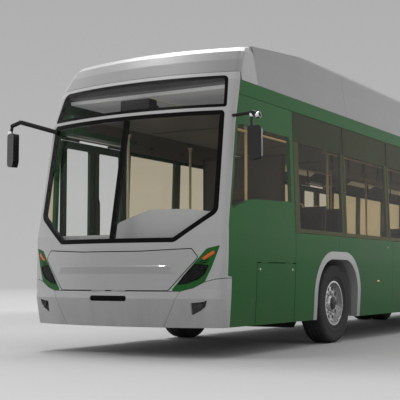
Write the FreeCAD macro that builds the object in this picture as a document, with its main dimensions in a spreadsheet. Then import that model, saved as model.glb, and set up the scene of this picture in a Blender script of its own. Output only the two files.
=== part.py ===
import FreeCAD, Part
import math
import os
import Sketcher
from FreeCAD import Vector

# A low-floor city bus, in millimetres. X is across (+X is the driver's side), Y runs from the
# front bumper (-Y) to the rear, Z is up from the road. The origin is on the road at mid length.

doc = FreeCAD.newDocument("city_bus")
sheet = doc.addObject("Spreadsheet::Sheet", "dims")

# Driving dimensions: name, value in mm (angles in degrees, counts plain)
DIMENSIONS = (
    ("body_length", 13200), ("body_width", 2550), ("front_overhang", 3305), ("wheelbase", 6750),
    ("skirt_low", 320), ("shoulder", 1300), ("waist", 1370),
    ("band_top", 2820), ("gutter", 2985), ("nose_top", 3075), ("roof_top", 3625),
    ("skirt_lean", 38), ("top_lean", 47),
    ("panel", 45), ("pane", 6), ("seam", 4), ("lid_gap", 10), ("seat_gap", 0.4),
    ("tyre_radius", 510), ("tyre_width", 295), ("rim_radius", 286), ("track_inset", 211.5),
    ("twin_spacing", 331), ("kingpin_inset", 405), ("kingpin_radius", 24),
    ("arch_half", 650), ("arch_clear", 48), ("arch_round", 448), ("arch_lip", 100),
    ("housing_inset", 727), ("housing_wall", 25),
    ("floor_top", 370), ("floor_thick", 50), ("rear_floor_top", 820), ("step_ahead", 1005),
    ("engine_deck", 1230), ("engine_bay_length", 1350),
    ("front_door_set", 670), ("front_door_width", 1310),
    ("mid_door_ahead", 2615), ("mid_door_width", 1330),
    ("door_bottom", 388), ("door_top", 2490), ("door_thick", 30), ("door_inset", 75),
    ("door_pivot", 27), ("door_end", 12), ("door_meet", 5),
    ("window_low", 1420), ("window_high", 2455), ("pillar", 150),
    ("ceiling", 2700), ("roof_low", 2925), ("roof_plate", 40),
    ("pole_radius", 18), ("seat_width", 430),
)


class Size:
    """A size of the bus: its value, and the sheet expression that it is bound to."""

    def __init__(self, value, text):
        self.value = float(value)
        self.text = text

    def __add__(self, other):
        other = size(other)
        return Size(self.value + other.value, "(%s + %s)" % (self.text, other.text))

    def __sub__(self, other):
        other = size(other)
        return Size(self.value - other.value, "(%s - %s)" % (self.text, other.text))

    def __mul__(self, other):
        other = size(other)
        return Size(self.value * other.value, "(%s * %s)" % (self.text, other.text))

    def __truediv__(self, other):
        other = size(other)
        return Size(self.value / other.value, "(%s / %s)" % (self.text, other.text))

    def __neg__(self):
        return size(0) - self

    def __rsub__(self, other):
        return size(other) - self

    __radd__ = __add__
    __rmul__ = __mul__


def size(item):
    """Plain numbers join in as sizes of their own."""
    if isinstance(item, Size):
        return item
    return Size(item, "(%.6f)" % item)


def read_sheet():
    """Fill the sheet and give back one Size for each of its names."""
    named = {}
    for row, (name, value) in enumerate(DIMENSIONS, start=1):
        sheet.set("A%d" % row, name)
        sheet.set("B%d" % row, str(value))
        sheet.setAlias("B%d" % row, name)
        named[name] = Size(value, "dims." + name)
    return named


dim = read_sheet()
doc.recompute()

half = dim["body_width"] / 2
front = -dim["body_length"] / 2
rear = dim["body_length"] / 2
front_axle = front + dim["front_overhang"]
rear_axle = front_axle + dim["wheelbase"]
front_door_low = front + dim["front_door_set"]
front_door_high = front_door_low + dim["front_door_width"]
mid_door_low = rear_axle - dim["mid_door_ahead"]
mid_door_high = mid_door_low + dim["mid_door_width"]
arch_top = dim["tyre_radius"] * 2 + dim["arch_clear"]
panel = dim["panel"]
pane = dim["pane"]
seam = dim["seam"]
skirt_low = dim["skirt_low"]
floor_top = dim["floor_top"]
floor_low = floor_top - dim["floor_thick"]
gap = dim["seat_gap"]


def nose_y(set_back):
    """A place along the bus, measured back from its front."""
    return front + set_back


def tail_y(set_forward):
    """A place along the bus, measured forward from its rear."""
    return rear - set_forward


# ---- ways of making pieces -------------------------------------------------------------------

def bind(item, prop, value):
    """Bind one property of a document object to the sheet."""
    item.setExpression(prop, size(value).text)


def place(item, x=0, y=0, z=0):
    """Put a document object at a bound place."""
    item.Placement.Base = Vector(size(x).value, size(y).value, size(z).value)
    for axis, value in (("x", x), ("y", y), ("z", z)):
        bind(item, "Placement.Base." + axis, value)
    return item


def box(label, x_low, x_high, y_low, y_high, z_low, z_high):
    """A block between two corners."""
    item = doc.addObject("Part::Box", label)
    bind(item, "Length", size(x_high) - x_low)
    bind(item, "Width", size(y_high) - y_low)
    bind(item, "Height", size(z_high) - z_low)
    return place(item, x_low, y_low, z_low)


TURNS = {"X": (Vector(0, 1, 0), 90), "Y": (Vector(1, 0, 0), -90), "Z": (Vector(0, 0, 1), 0)}


def rod(label, axis, radius, length, x, y, z):
    """A round bar that starts at a point and runs along an axis."""
    item = doc.addObject("Part::Cylinder", label)
    bind(item, "Radius", radius)
    bind(item, "Height", length)
    item.Placement.Rotation = FreeCAD.Rotation(*TURNS[axis])
    return place(item, x, y, z)


def cut(label, base, *tools):
    """The base less each tool."""
    item = doc.addObject("Part::Cut", label)
    item.Base = base
    item.Tool = tools[0] if len(tools) == 1 else group(label + "_tools", *tools)
    return item


def common(label, first, second):
    """What two shapes share."""
    item = doc.addObject("Part::Common", label)
    item.Base = first
    item.Tool = second
    return item


def fuse(label, *items):
    """Shapes joined to one piece."""
    item = doc.addObject("Part::MultiFuse", label)
    item.Shapes = list(items)
    return item


def group(label, *items):
    """Separate solids that share one node."""
    item = doc.addObject("Part::Compound", label)
    item.Links = list(items)
    return item


def mirrored(label, source):
    """The same piece on the other side of the bus."""
    item = doc.addObject("Part::Mirroring", label)
    item.Source = source
    item.Normal = Vector(1, 0, 0)
    return item


def pair(label, source):
    """A driver's side piece together with its mirror image."""
    return group(label, source, mirrored(label + "_twin", source))


def outline(sketch, corners):
    """A closed outline through (across, up) corners; a third value rounds that corner."""
    points = [(size(c[0]), size(c[1])) for c in corners]
    flat = [Vector(across.value, up.value, 0) for across, up in points]
    count = len(flat)
    leaves, enters, arcs = [], [], {}
    for i, spot in enumerate(flat):
        if len(corners[i]) < 3:
            leaves.append(spot)
            enters.append(spot)
            continue
        radius = size(corners[i][2]).value
        back = (flat[i - 1] - spot).normalize()
        ahead = (flat[(i + 1) % count] - spot).normalize()
        opening = back.getAngle(ahead)
        reach = radius / math.tan(opening / 2)
        middle = (back + ahead).normalize()
        centre = spot + middle * (radius / math.sin(opening / 2))
        enters.append(spot + back * reach)
        leaves.append(spot + ahead * reach)
        arcs[i] = Part.Arc(enters[i], centre - middle * radius, leaves[i])
    lines = [sketch.addGeometry(Part.LineSegment(leaves[i], enters[(i + 1) % count]), False)
             for i in range(count)]
    for i, (across, up) in enumerate(points):
        spot = (lines[i], 1)
        if i in arcs:
            arc = sketch.addGeometry(arcs[i], False)
            spot = (sketch.addGeometry(Part.Point(flat[i]), True), 1)
            for line in (lines[i - 1], lines[i]):
                sketch.addConstraint(Sketcher.Constraint("PointOnObject", spot[0], 1, line))
            started = sketch.Geometry[arc].StartPoint.distanceToPoint(enters[i]) < 1e-6
            first, last = (1, 2) if started else (2, 1)
            sketch.addConstraint(Sketcher.Constraint("Tangent", lines[i - 1], 2, arc, first))
            sketch.addConstraint(Sketcher.Constraint("Tangent", lines[i], 1, arc, last))
            radius = size(corners[i][2])
            number = sketch.addConstraint(Sketcher.Constraint("Radius", arc, radius.value))
            sketch.setExpression("Constraints[%d]" % number, radius.text)
        else:
            sketch.addConstraint(Sketcher.Constraint("Coincident", lines[i - 1], 2, lines[i], 1))
        for kind, value in (("DistanceX", across), ("DistanceY", up)):
            number = sketch.addConstraint(Sketcher.Constraint(kind, -1, 1, *spot, value.value))
            sketch.setExpression("Constraints[%d]" % number, value.text)


# plane: its role in a body's origin, and whether its normal runs along the axis or against it
PLANES = {"XY": ("XY_Plane", 1), "YZ": ("YZ_Plane", 1), "XZ": ("XZ_Plane", -1)}


def drawn(label, plane, corners, offset=0):
    """A body with one outline on one of its origin planes."""
    body = doc.addObject("PartDesign::Body", label)
    sketch = body.newObject("Sketcher::SketchObject", label + "_outline")
    role = PLANES[plane][0]
    support = [feature for feature in body.Origin.OriginFeatures if feature.Role == role][0]
    sketch.AttachmentSupport = [(support, "")]
    sketch.MapMode = "FlatFace"
    bind(sketch, "AttachmentOffset.Base.z", offset)
    outline(sketch, corners)
    return body, sketch


def prism(label, plane, corners, low, high):
    """An outline padded between two places on the third axis."""
    forward = PLANES[plane][1] > 0
    body, sketch = drawn(label, plane, corners, low if forward else -size(high))
    pad = body.newObject("PartDesign::Pad", label + "_pad")
    pad.Profile = sketch
    bind(pad, "Length", size(high) - low)
    return body


def turned(label, corners, x, y, z):
    """An (across, radius) section revolved about the cross axis."""
    body, sketch = drawn(label, "XZ", corners)
    ring = body.newObject("PartDesign::Revolution", label + "_ring")
    ring.Profile = sketch
    ring.ReferenceAxis = (sketch, ["H_Axis"])
    ring.Angle = 360
    return place(body, x, y, z)


# ---- the skin: one side section, used by every side panel --------------------------------------

# height, and how far the side leans in there
skirt_rise = dim["shoulder"] - skirt_low
SKIN = ((skirt_low, dim["skirt_lean"]), (skirt_low + skirt_rise * 0.2, dim["skirt_lean"] * 0.63),
        (skirt_low + skirt_rise * 0.4, dim["skirt_lean"] * 0.35),
        (skirt_low + skirt_rise * 0.6, dim["skirt_lean"] * 0.155),
        (skirt_low + skirt_rise * 0.8, dim["skirt_lean"] * 0.035), (dim["shoulder"], size(0)),
        (dim["gutter"], dim["top_lean"]))


def skin(height):
    """Half width of the body at a height: curving in below the shoulder, leaning in above it."""
    height = size(height)
    for (low, low_lean), (high, high_lean) in zip(SKIN, SKIN[1:]):
        if height.value < high.value or high is SKIN[-1][0]:
            rise = (height - low) / (high - low)
            return half - low_lean - (high_lean - low_lean) * rise


def side_section(low, high, outer, inner):
    """The wall between two heights and two depths under the skin, driver's side."""
    low, high = size(low), size(high)
    bends = [level for level, lean in SKIN if low.value < level.value < high.value]
    levels = [low] + bends + [high]
    face = [(skin(z) - outer, z) for z in levels]
    back = [(skin(z) - inner, z) for z in reversed(levels)]
    return face + back


def side_wall(label, low, high, outer, inner, start, end):
    """A straight run of side wall."""
    return prism(label, "XZ", side_section(low, high, outer, inner), start, end)


def arch(centre, half_width, top, bottom, corner):
    """Wheel arch outline: upright legs and a flat top with large round corners."""
    return [(centre - half_width, bottom), (centre + half_width, bottom),
            (centre + half_width, top, corner), (centre - half_width, top, corner)]


# ---- nose and tail: lofted shells ---------------------------------------------------------------

# height, reach of the middle, radius of the face, lean of the side, radius of the corner
NOSE = (
    (320, 6540, 3000, 38, 170), (620, 6600, 2850, 18.4, 150), (720, 6572, 3000, 13, 120),
    (1000, 6560, 3050, 3.8, 90), (1160, 6550, 3050, 1, 85), (1300, 6520, 3400, 0, 80),
    (2620, 6259, 3700, 36.82, 80), (2985, 6120, 3700, 47, 80), (3075, 6062, 3700, 58, 80),
)
CAP = (
    (2985.4, 6120, 3700, 48, 80), (3075, 6062, 3700, 60, 80), (3230, 5970, 3700, 88, 85),
    (3340, 5885, 3700, 108, 90), (3400, 5800, 3700, 128, 95), (3432, 5660, 3700, 150, 100),
)
TAIL = (
    (320, 6540, 9000, 38, 150), (620, 6590, 9000, 18.4, 150), (1000, 6600, 9000, 3.8, 150),
    (1300, 6600, 9000, 0, 150), (2985, 6520, 9000, 47, 150),
)
level_scale = dim["body_length"].value / 2 - 6600


def plan_wire(level, side, back, inset):
    """One plan section of an end shell: a wide face arc, two corner arcs and straight sides."""
    height, reach, face, lean, corner = level
    reach += level_scale - inset
    face -= inset
    corner = max(corner - inset, 20)
    width = half.value - lean - inset
    centre = reach - face
    corner_x = width - corner
    corner_v = centre + math.sqrt((face - corner) ** 2 - corner_x ** 2)
    spread = math.atan2(corner_x, corner_v - centre)
    middle = (spread + math.pi / 2) / 2

    def spot(across, along):
        return Vector(across, side * along, height)

    def face_spot(angle):
        return spot(face * math.sin(angle), centre + face * math.cos(angle))

    def corner_spot(sign, angle):
        return spot(sign * (corner_x + corner * math.sin(angle)),
                    corner_v + corner * math.cos(angle))

    low, high = back
    edges = [
        Part.LineSegment(spot(width, low), corner_spot(1, math.pi / 2)),
        Part.Arc(corner_spot(1, math.pi / 2), corner_spot(1, middle), face_spot(spread)),
        Part.Arc(face_spot(spread), face_spot(0), face_spot(-spread)),
        Part.Arc(face_spot(-spread), corner_spot(-1, middle), corner_spot(-1, math.pi / 2)),
        Part.LineSegment(corner_spot(-1, math.pi / 2), spot(-width, low)),
        Part.LineSegment(spot(-width, low), spot(width, low)),
    ]
    return Part.Wire([edge.toShape() for edge in edges])


def end_solid(label, levels, side, low, inset):
    """The solid inside an end's skin, less an inset, from a plane near the end outwards."""
    item = doc.addObject("Part::Feature", label)
    wires = [plan_wire(level, side, (low + level_scale, 0), inset) for level in levels]
    item.Shape = Part.makeLoft(wires, True, True)
    return item


def hinge(label, axis, spots, x, y, z, fixed_reach, moving_reach):
    """Barrels of a lid hinge at each spot along its axis: one moving between two fixed.

    A reach is the (x, y, z) step from the axis into the piece that carries the barrel.
    """
    fixed, moving = [], []
    for number, spot in enumerate(spots, start=1):
        barrels = (("a", -90, fixed, fixed_reach), ("b", -30, moving, moving_reach),
                   ("c", 30, fixed, fixed_reach))
        for place_word, shift, owner, reach in barrels:
            start = Vector(x, spot + shift, z) if axis == "Y" else Vector(spot + shift, y, z)
            name = "%s_%s%d" % (label, place_word, number)
            owner.append(rod(name, axis, BARREL, 60 - 0.4, start.x, start.y, start.z))
            low = start + Vector(min(reach[0], -2), min(reach[1], -2), min(reach[2], -2))
            high = start + Vector(max(reach[0], 2), max(reach[1], 2), max(reach[2], 2))
            if axis == "Y":
                low.y, high.y = start.y, start.y + 60 - 0.4
            else:
                low.x, high.x = start.x, start.x + 60 - 0.4
            owner.append(box(name + "_leaf", low.x, high.x, low.y, high.y, low.z, high.z))
    return fixed, moving


BARREL = 4.5
NODES = {}


def node(name, item):
    """A finished sub-part, written to its own file."""
    item.Label = name
    NODES[name] = item
    return item


# ---- nose ---------------------------------------------------------------------------------------

NOSE_BACK = 5780
nose_plane = nose_y(820)
nose = end_solid("nose_outer", NOSE, -1, NOSE_BACK, 0)
nose_behind_glass = end_solid("nose_glass_back", NOSE, -1, NOSE_BACK, pane.value)
nose_inside = end_solid("nose_inner", NOSE, -1, NOSE_BACK, panel.value)
nose_shell = cut("nose_shell", nose, nose_inside)
nose_glass = cut("nose_glass", nose, nose_behind_glass)


width_scale = half.value / 1275


def widened(corners):
    """An outline drawn for the usual body width, spread to the width in the sheet."""
    return [(corner[0] * width_scale,) + tuple(corner[1:]) for corner in corners]


def both_sides(corners):
    """A symmetric outline from its driver's side corners, listed from bottom to top."""
    others = [(-size(c[0]),) + tuple(c[1:]) for c in reversed(corners)]
    return list(corners) + others


def seen_from_front(label, corners):
    """A cutter with an outline seen from the front, through the whole nose."""
    return prism(label, "XZ", corners, front - 100, nose_plane)


# outlines seen from the front: (across, height, corner radius), bottom to top
SCREEN = widened([(752, 1207, 90), (1180, 1520, 110), (1152, 2624, 45)])
SIGN = widened([(1166, 2660, 25), (1118, 3032, 70)])
FLAP = widened([(700, 707, 25), (1000, 1050, 25), (935, 1136, 25), (380, 1112)])
LAMP = widened([(738, 702, 12), (834, 698), (960, 735, 150), (1078, 800, 30), (1142, 948, 300),
                (1216, 1172, 6), (1090, 1140, 60), (1018, 1050)])
BUMPER_TOP = widened([(834, 694), (960, 729), (1078, 792), (1182, 821), (1400, 845)])


def inset_outline(corners, by):
    """The same outline drawn smaller, corner by corner, along each corner's bisector."""
    spots = [Vector(size(c[0]).value, size(c[1]).value, 0) for c in corners]
    count = len(spots)
    smaller = []
    for i, spot in enumerate(spots):
        before = (spot - spots[i - 1]).normalize()
        after = (spots[(i + 1) % count] - spot).normalize()
        inward = Vector(-before.y - after.y, before.x + after.x, 0).normalize()
        reach = by / math.cos(before.getAngle(after) / 2)
        moved = spot + inward * reach
        hollow = before.x * after.y - before.y * after.x < 0
        radius = [max(c + by if hollow else c - by, 3) for c in corners[i][2:]]
        smaller.append((moved.x, moved.y, *radius))
    return smaller


RING = 50
POST = 27
screen_hole = seen_from_front("screen_hole", both_sides(SCREEN))
sign_hole = seen_from_front("sign_hole", both_sides(SIGN))
screen_clear = seen_from_front("screen_clear", inset_outline(both_sides(SCREEN), RING))
sign_clear = seen_from_front("sign_clear", inset_outline(both_sides(SIGN), RING * 0.7))
post = box("screen_post_bar", -POST, POST, front - 100, nose_plane, 1100, 2660)

# black frame round the windscreen halves and the sign glass
screen_ring = cut("screen_ring_flat", seen_from_front("screen_ring_out",
                  inset_outline(both_sides(SCREEN), 0.5)), screen_clear)
screen_cross = fuse("screen_cross", screen_ring,
                    common("screen_post", post, seen_from_front("screen_post_reach",
                           inset_outline(both_sides(SCREEN), 4))))
sign_ring = cut("sign_ring_flat", seen_from_front("sign_ring_out",
                inset_outline(both_sides(SIGN), 0.5)), sign_clear)
node("front_glass_frames", group("front_glass_frames_all",
     common("screen_frame", nose_shell, screen_cross), common("sign_frame", nose_shell, sign_ring)))

# glass: two windscreen halves and the sign glass, flush in their frames
screen_pane = cut("screen_pane_flat", seen_from_front("screen_pane_out",
                  inset_outline(both_sides(SCREEN), RING + 0.5)),
                  box("pane_split", -POST - 0.5, size(POST) + 0.5, front - 200, nose_plane + 100, 1000,
                      2700))
sign_pane = seen_from_front("sign_pane_out", inset_outline(both_sides(SIGN), RING * 0.7 + 0.5))
node("front_glass", group("front_glass_all", common("screen_panes", nose_glass, screen_pane),
                          common("sign_panes", nose_glass, sign_pane)))

# where the nose ends and the body side begins, seen from the side: (along, height)
SIDE_START = ((470, 300), (470, 846), (385, 858), (392, 1380), (602, 2500), (738, 2985), (770, 3080))


def side_start(shift):
    """The line between nose and body side, moved back or forward by half a seam."""
    return [(nose_y(set_back) + shift, height) for set_back, height in SIDE_START]


nose_side_cut = prism("nose_side_cut", "YZ",
                      side_start(-seam / 2) + [(nose_y(1000), 3080), (nose_y(1000), 300)], -half - 50,
                      half + 50)


def below_line(label, top, lift):
    """A cutter for all of the nose below the bumper's top line."""
    line = [(across, height + lift) for across, height in top]
    return seen_from_front(label, both_sides([(1400, 250)] + line[::-1]))


# mask: the painted shell round glass, lamps and flap
bumper_cut = below_line("bumper_cut", BUMPER_TOP, seam.value + 2.5)
flap_hole = seen_from_front("flap_hole", inset_outline(both_sides(FLAP), -dim["lid_gap"].value))
lamp_hole = seen_from_front("lamp_hole", inset_outline(LAMP, -seam.value / 2))
lamp_holes = pair("lamp_holes", lamp_hole)
node("front_mask", cut("front_mask_cut", nose_shell, screen_hole, sign_hole, nose_side_cut,
                       bumper_cut, flap_hole, lamp_holes))

# bumper: a middle and two corners, with the air slot and the fog lamp recesses
SLOT = [(238, 590, 26), (238, 648, 26)]
FOG = widened([(942, 447, 12), (1036, 497), (1088, 540), (1107, 607, 5), (1060, 589), (942, 577, 12)])
bumper_all = common("bumper_all", nose_shell, below_line("bumper_zone", BUMPER_TOP, 0))
bumper_split = prism("bumper_split", "XZ", widened([(600, 250), (604, 250), (845, 720), (841, 720)]),
                     front - 100, nose_plane)
slot_cut = prism("slot_cut", "XZ", both_sides(SLOT), front - 100, front + 30)
fog_cut = common("fog_cut", prism("fog_shape", "XZ", FOG, front - 100, nose_plane),
                 cut("fog_depth", nose, end_solid("fog_floor", NOSE, -1, NOSE_BACK, 24)))
# bulkhead behind bumper, lamps and flap, standing on the floor
bulkhead_wall = cut("bulkhead_wall", end_solid("bulkhead_face", NOSE, -1, NOSE_BACK, panel.value + gap.value),
                    end_solid("bulkhead_back", NOSE, -1, NOSE_BACK, panel.value + 35))
bulkhead_plate = common("bulkhead_plate", bulkhead_wall, box("bulkhead_zone", -1400, 1400,
                        front - 100, nose_y(655), floor_top + gap, 1180))
# towing socket on the bulkhead, reached through the air slot
TOW_HEIGHT, TOW_BORE, TOW_BOSS = 619, 20, 42
tow_boss = rod("tow_boss", "Y", TOW_BOSS, 90, 0, front + 60, TOW_HEIGHT)
tow_bore = rod("tow_bore", "Y", TOW_BORE, 300, 0, front, TOW_HEIGHT)
node("front_bulkhead", cut("front_bulkhead_cut", fuse("bulkhead_blank", bulkhead_plate, tow_boss), tow_bore))

# headlamps: a blade-shaped housing with its lens pocket
LENS = widened([(815, 772, 10), (900, 782), (1010, 822, 60), (1076, 880), (1108, 962, 20),
                (980, 976, 20), (870, 862, 60)])
lamp_all = common("lamp_all", nose_shell, seen_from_front("lamp_shape", LAMP))
lens_shape = seen_from_front("lens_shape", LENS)
lens_pocket = common("lens_pocket", lens_shape,
                     cut("lens_depth", nose, end_solid("lens_floor", NOSE, -1, NOSE_BACK, 30)))
node("headlamps", pair("headlamps_pair", cut("headlamp", lamp_all, lens_pocket)))
lens_body = common("lens_body", nose_glass, seen_from_front("lens_out", inset_outline(LENS, 0.5)))
node("headlamp_lenses", pair("headlamp_lenses_pair", lens_body))

# fold-down service flap in the nose
flap_shell = cut("flap_shell", nose, end_solid("flap_back", NOSE, -1, NOSE_BACK, 14))
flap_fixed, flap_moving = hinge("flap_hinge", "X", (-130, 130), 0, nose_y(22).value, 700.5, (0, 10, -9),
                                (0, 9, 10))
node("bonnet_flap", fuse("bonnet_flap_all", common("bonnet_flap_cut", flap_shell,
                         seen_from_front("flap_shape", both_sides(FLAP))), *flap_moving))

tow_hole = rod("tow_hole", "Y", TOW_BORE + 6, 200, 0, front - 100, TOW_HEIGHT)
front_bumper = fuse("front_bumper_all", cut("front_bumper_cut", bumper_all, nose_side_cut, slot_cut, tow_hole,
                    pair("bumper_splits", bumper_split), pair("fog_cuts", fog_cut)), *flap_fixed)

# roof cap over the nose
TAIL_CAP = (
    (2985.4, 6518, 9000, 48, 150), (3320, 6490, 9000, 105, 150), (3540, 6440, 9000, 135, 150),
    (3625, 6370, 9000, 190, 150),
)
CAP_BACK = 5300
cap_solid = end_solid("cap_outer", CAP, -1, CAP_BACK, 0)
cap_step = box("cap_step", -half, half, front, nose_y(772), 2900, dim["nose_top"] + seam)
cap_end = box("cap_end", -half, half, nose_y(1148), nose_y(1400), 2900, 3700)
roof_cap = cut("roof_cap_cut", cap_solid, cap_step, cap_end)


# ---- body sides ---------------------------------------------------------------------------------

arch_low = size(280)
band_foot = dim["waist"]
wide = half + 60
side_front = nose_y(370)
body_end = rear - 350 - gap


def arch_prism(label, centre, grow, low, high):
    """The wheel arch opening, grown all round."""
    corners = arch(centre, dim["arch_half"] + grow, arch_top + grow, arch_low,
                   dim["arch_round"] + grow)
    return prism(label, "YZ", corners, low, high)


front_arch_cut = arch_prism("front_arch_cut", front_axle, dim["arch_lip"], half - 300, wide)
rear_arch_cut = arch_prism("rear_arch_cut", rear_axle, dim["arch_lip"], half - 300, wide)
arch_cuts = group("arch_cuts", front_arch_cut, rear_arch_cut)
front_arch = prism("side_front_line", "YZ", [(front, 200)] + side_start(seam / 2) + [(front, 3080)],
                   half - 400, wide)

# skirt bays of the driver's side, then of the door side: start, end
behind_front = front_axle + 1995
behind_rear = rear_axle + 1745
DRIVER_BAYS = ((front_door_high + 24, front_axle), (front_axle, behind_front),
               (behind_front, front_axle + 3895), (front_axle + 3895, rear_axle - 950),
               (rear_axle - 950, rear_axle), (rear_axle, behind_rear), (behind_rear, body_end + seam / 2))
DOOR_BAYS = ((front_door_high, front_axle), (front_axle, behind_front), (behind_front, mid_door_low),
             (mid_door_high, rear_axle), (rear_axle, behind_rear), (behind_rear, body_end + seam / 2))


def skirts(label, bays):
    """The lower side panels of one side, drawn on the driver's side, cut by the arches."""
    made = []
    for number, (start, end) in enumerate(bays, start=1):
        run = side_wall("%s_%d" % (label, number), skirt_low, band_foot - seam, 0, panel,
                        start + seam / 2, end - seam / 2)
        made.append(cut("%s_%d_cut" % (label, number), run, arch_cuts))
    return made


node("skirt_panels", group("skirt_panels_all", *skirts("driver_skirt", DRIVER_BAYS),
     mirrored("door_skirts", group("door_skirts_drawn", *skirts("door_skirt", DOOR_BAYS)))))

# light lip round each arch, following the skin
lip_ring = cut("lip_ring", group("lip_outs",
               arch_prism("lip_out_front", front_axle, dim["arch_lip"] - gap, half - 300, wide),
               arch_prism("lip_out_rear", rear_axle, dim["arch_lip"] - gap, half - 300, wide)),
               group("lip_ins", arch_prism("lip_in_front", front_axle, size(0), half - 320, wide + 20),
                     arch_prism("lip_in_rear", rear_axle, size(0), half - 320, wide + 20)))
lip_wall = side_wall("lip_wall", skirt_low, band_foot, 0, panel, front_axle - 900, rear_axle + 900)
lip_face = common("lip_face", lip_wall, lip_ring)

# behind its face each lip turns inwards, as far as the wheel housing
lips = []
for word, axle in (("front", front_axle), ("rear", rear_axle)):
    turn_in = cut(word + "_turn_in", arch_prism(word + "_turn_out", axle, size(30), half - 122 + gap, half),
                  arch_prism(word + "_turn_hollow", axle, size(0), half - 200, half + 20))
    inner_wall = side_wall(word + "_inner_wall", skirt_low, band_foot, 12, 130, axle - 900, axle + 900)
    lips.append(common(word + "_return", turn_in, inner_wall))
node("arch_lips", pair("arch_lips_pair", fuse("arch_lips_all", lip_face, *lips)))

# cab side: full-height panel with the driver's window and the service hatch
CAB_WINDOW = [(nose_y(460), 1560, 30), (nose_y(800), 1665), (nose_y(960), 1693),
              (nose_y(1910), 1724, 30), (nose_y(1910), 2490, 30), (nose_y(655), 2490, 40)]
HATCH = [(nose_y(1030), 300), (nose_y(1996), 300), (nose_y(1996), 1000), (nose_y(1030), 1000, 12)]
cab_wall = side_wall("cab_wall", skirt_low, dim["band_top"] - seam, 0, panel, side_front,
                     front_door_high + 20)
cab_window_cut = prism("cab_window_cut", "YZ", CAB_WINDOW, half - 200, wide)
hatch_hole = prism("hatch_hole", "YZ", inset_outline(HATCH, -dim["lid_gap"].value), half - 200, wide)
hatch_fixed, hatch_moving = hinge("hatch_hinge", "Y", (nose_y(1200).value, nose_y(1820).value), half.value - 5, 0,
                                  1005, (0, 0, 8), (0, 0, -8))
cab_side = fuse("cab_side_all", cut("cab_side_cut", cab_wall, front_arch, cab_window_cut, hatch_hole),
                *hatch_fixed)
hatch_wall = side_wall("hatch_wall", skirt_low, 1100, 0, 16, nose_y(900), nose_y(2100))
node("service_hatch", fuse("service_hatch_all", common("service_hatch_cut", hatch_wall,
                           prism("hatch_shape", "YZ", HATCH, half - 200, wide)), *hatch_moving))
cab_pane_wall = side_wall("cab_pane_wall", 1450, 2700, 0, pane, nose_y(400), nose_y(2000))
cab_pane = common("cab_pane", cab_pane_wall,
                  prism("cab_pane_shape", "YZ", inset_outline(CAB_WINDOW, 0.5), half - 200, wide))

# door side pillar in front of the first door
QUARTER = [(nose_y(445), 1430, 15), (nose_y(615), 1430, 15), (nose_y(615), 2400, 10)]
front_post_wall = side_wall("front_post_wall", skirt_low, dim["band_top"] - seam, 0, panel,
                            side_front, front_door_low)
quarter_cut = prism("quarter_cut", "YZ", QUARTER, half - 200, wide)
node("cab_sides", group("cab_sides_all", cab_side, mirrored("door_side_post",
     cut("door_side_post_cut", front_post_wall, front_arch, quarter_cut))))
quarter_wall = side_wall("quarter_wall", 1350, 2500, 0, pane, nose_y(350), nose_y(660))
quarter_pane = common("quarter_pane", quarter_wall,
                      prism("quarter_shape", "YZ", inset_outline(QUARTER, 0.5), half - 200, wide))

# flush glass band: start, end of each pane; the frame behind it has sills, headers and pillars
cab_end = front_door_high + 24
DRIVER_JOINTS = (front_axle + 215, front_axle + 1855, front_axle + 3495, front_axle + 5135,
                 rear_axle + 25, rear_axle + 1665, body_end - 4)
DOOR_JOINTS = (front_axle - 5, front_axle + 1395, front_axle + 2795, mid_door_low)
REAR_DOOR_JOINTS = (rear_axle + 145, rear_axle + 1545, body_end - 4)
DRIVER_PANES = tuple(zip((cab_end,) + DRIVER_JOINTS, DRIVER_JOINTS))
DOOR_PANES = tuple(zip((front_door_high,) + DOOR_JOINTS, DOOR_JOINTS))
DOOR_PANES += tuple(zip((mid_door_high,) + REAR_DOOR_JOINTS, REAR_DOOR_JOINTS))
DOOR_FRAMES = ((front_door_high, mid_door_low), (mid_door_high, body_end))


def panes(label, rows):
    """Flush panes with a joint between neighbours."""
    return [side_wall("%s_%d" % (label, number), band_foot, dim["band_top"] - seam, 0, pane,
                      start + seam, end - seam) for number, (start, end) in enumerate(rows, start=1)]


side_panes = group("side_panes", *panes("driver_pane", DRIVER_PANES), cab_pane,
                   mirrored("door_panes", group("door_panes_drawn", *panes("door_pane", DOOR_PANES),
                                                quarter_pane)))


def rails(label, low, high, rows):
    """Long rails of the window frame, behind the glass."""
    return [side_wall("%s_%d" % (label, number), low, high, pane + gap, panel, start, end)
            for number, (start, end) in enumerate(rows, start=1)]


def pillars(label, rows):
    """Upright pillars behind the pane joints, and at both ends of each run."""
    made = []
    spots = [rows[0][0] + dim["pillar"] / 2] + [end for start, end in rows[:-1]]
    spots.append(rows[-1][1] - dim["pillar"] / 2)
    for number, spot in enumerate(spots, start=1):
        made.append(side_wall("%s_%d" % (label, number), dim["window_low"], dim["window_high"],
                              pane + gap, panel, spot - dim["pillar"] / 2, spot + dim["pillar"] / 2))
    return made


driver_run = ((cab_end, body_end),)


def sills(label, rows):
    """Waist rails: under the glass, and stepped in to back the tops of the skirt panels."""
    made = []
    for number, (start, end) in enumerate(rows, start=1):
        cap = side_wall("%s_cap_%d" % (label, number), band_foot, dim["window_low"], pane + gap, panel + 1,
                        start, end)
        back = side_wall("%s_back_%d" % (label, number), band_foot - 70, dim["window_low"], panel + gap,
                         panel + 30, start, end)
        made.append(fuse("%s_%d" % (label, number), cap, back))
    return made


node("window_sills", group("window_sills_all", *sills("driver_sill", driver_run),
     mirrored("door_sills", group("door_sills_drawn", *sills("door_sill", DOOR_FRAMES)))))
node("window_pillars", group("window_pillars_all", *pillars("driver_pillar", DRIVER_PANES),
     mirrored("door_pillars", group("door_pillars_drawn", *pillars("door_pillar", DOOR_PANES[:4]),
                                    *pillars("rear_door_pillar", DOOR_PANES[4:])))))

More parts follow.
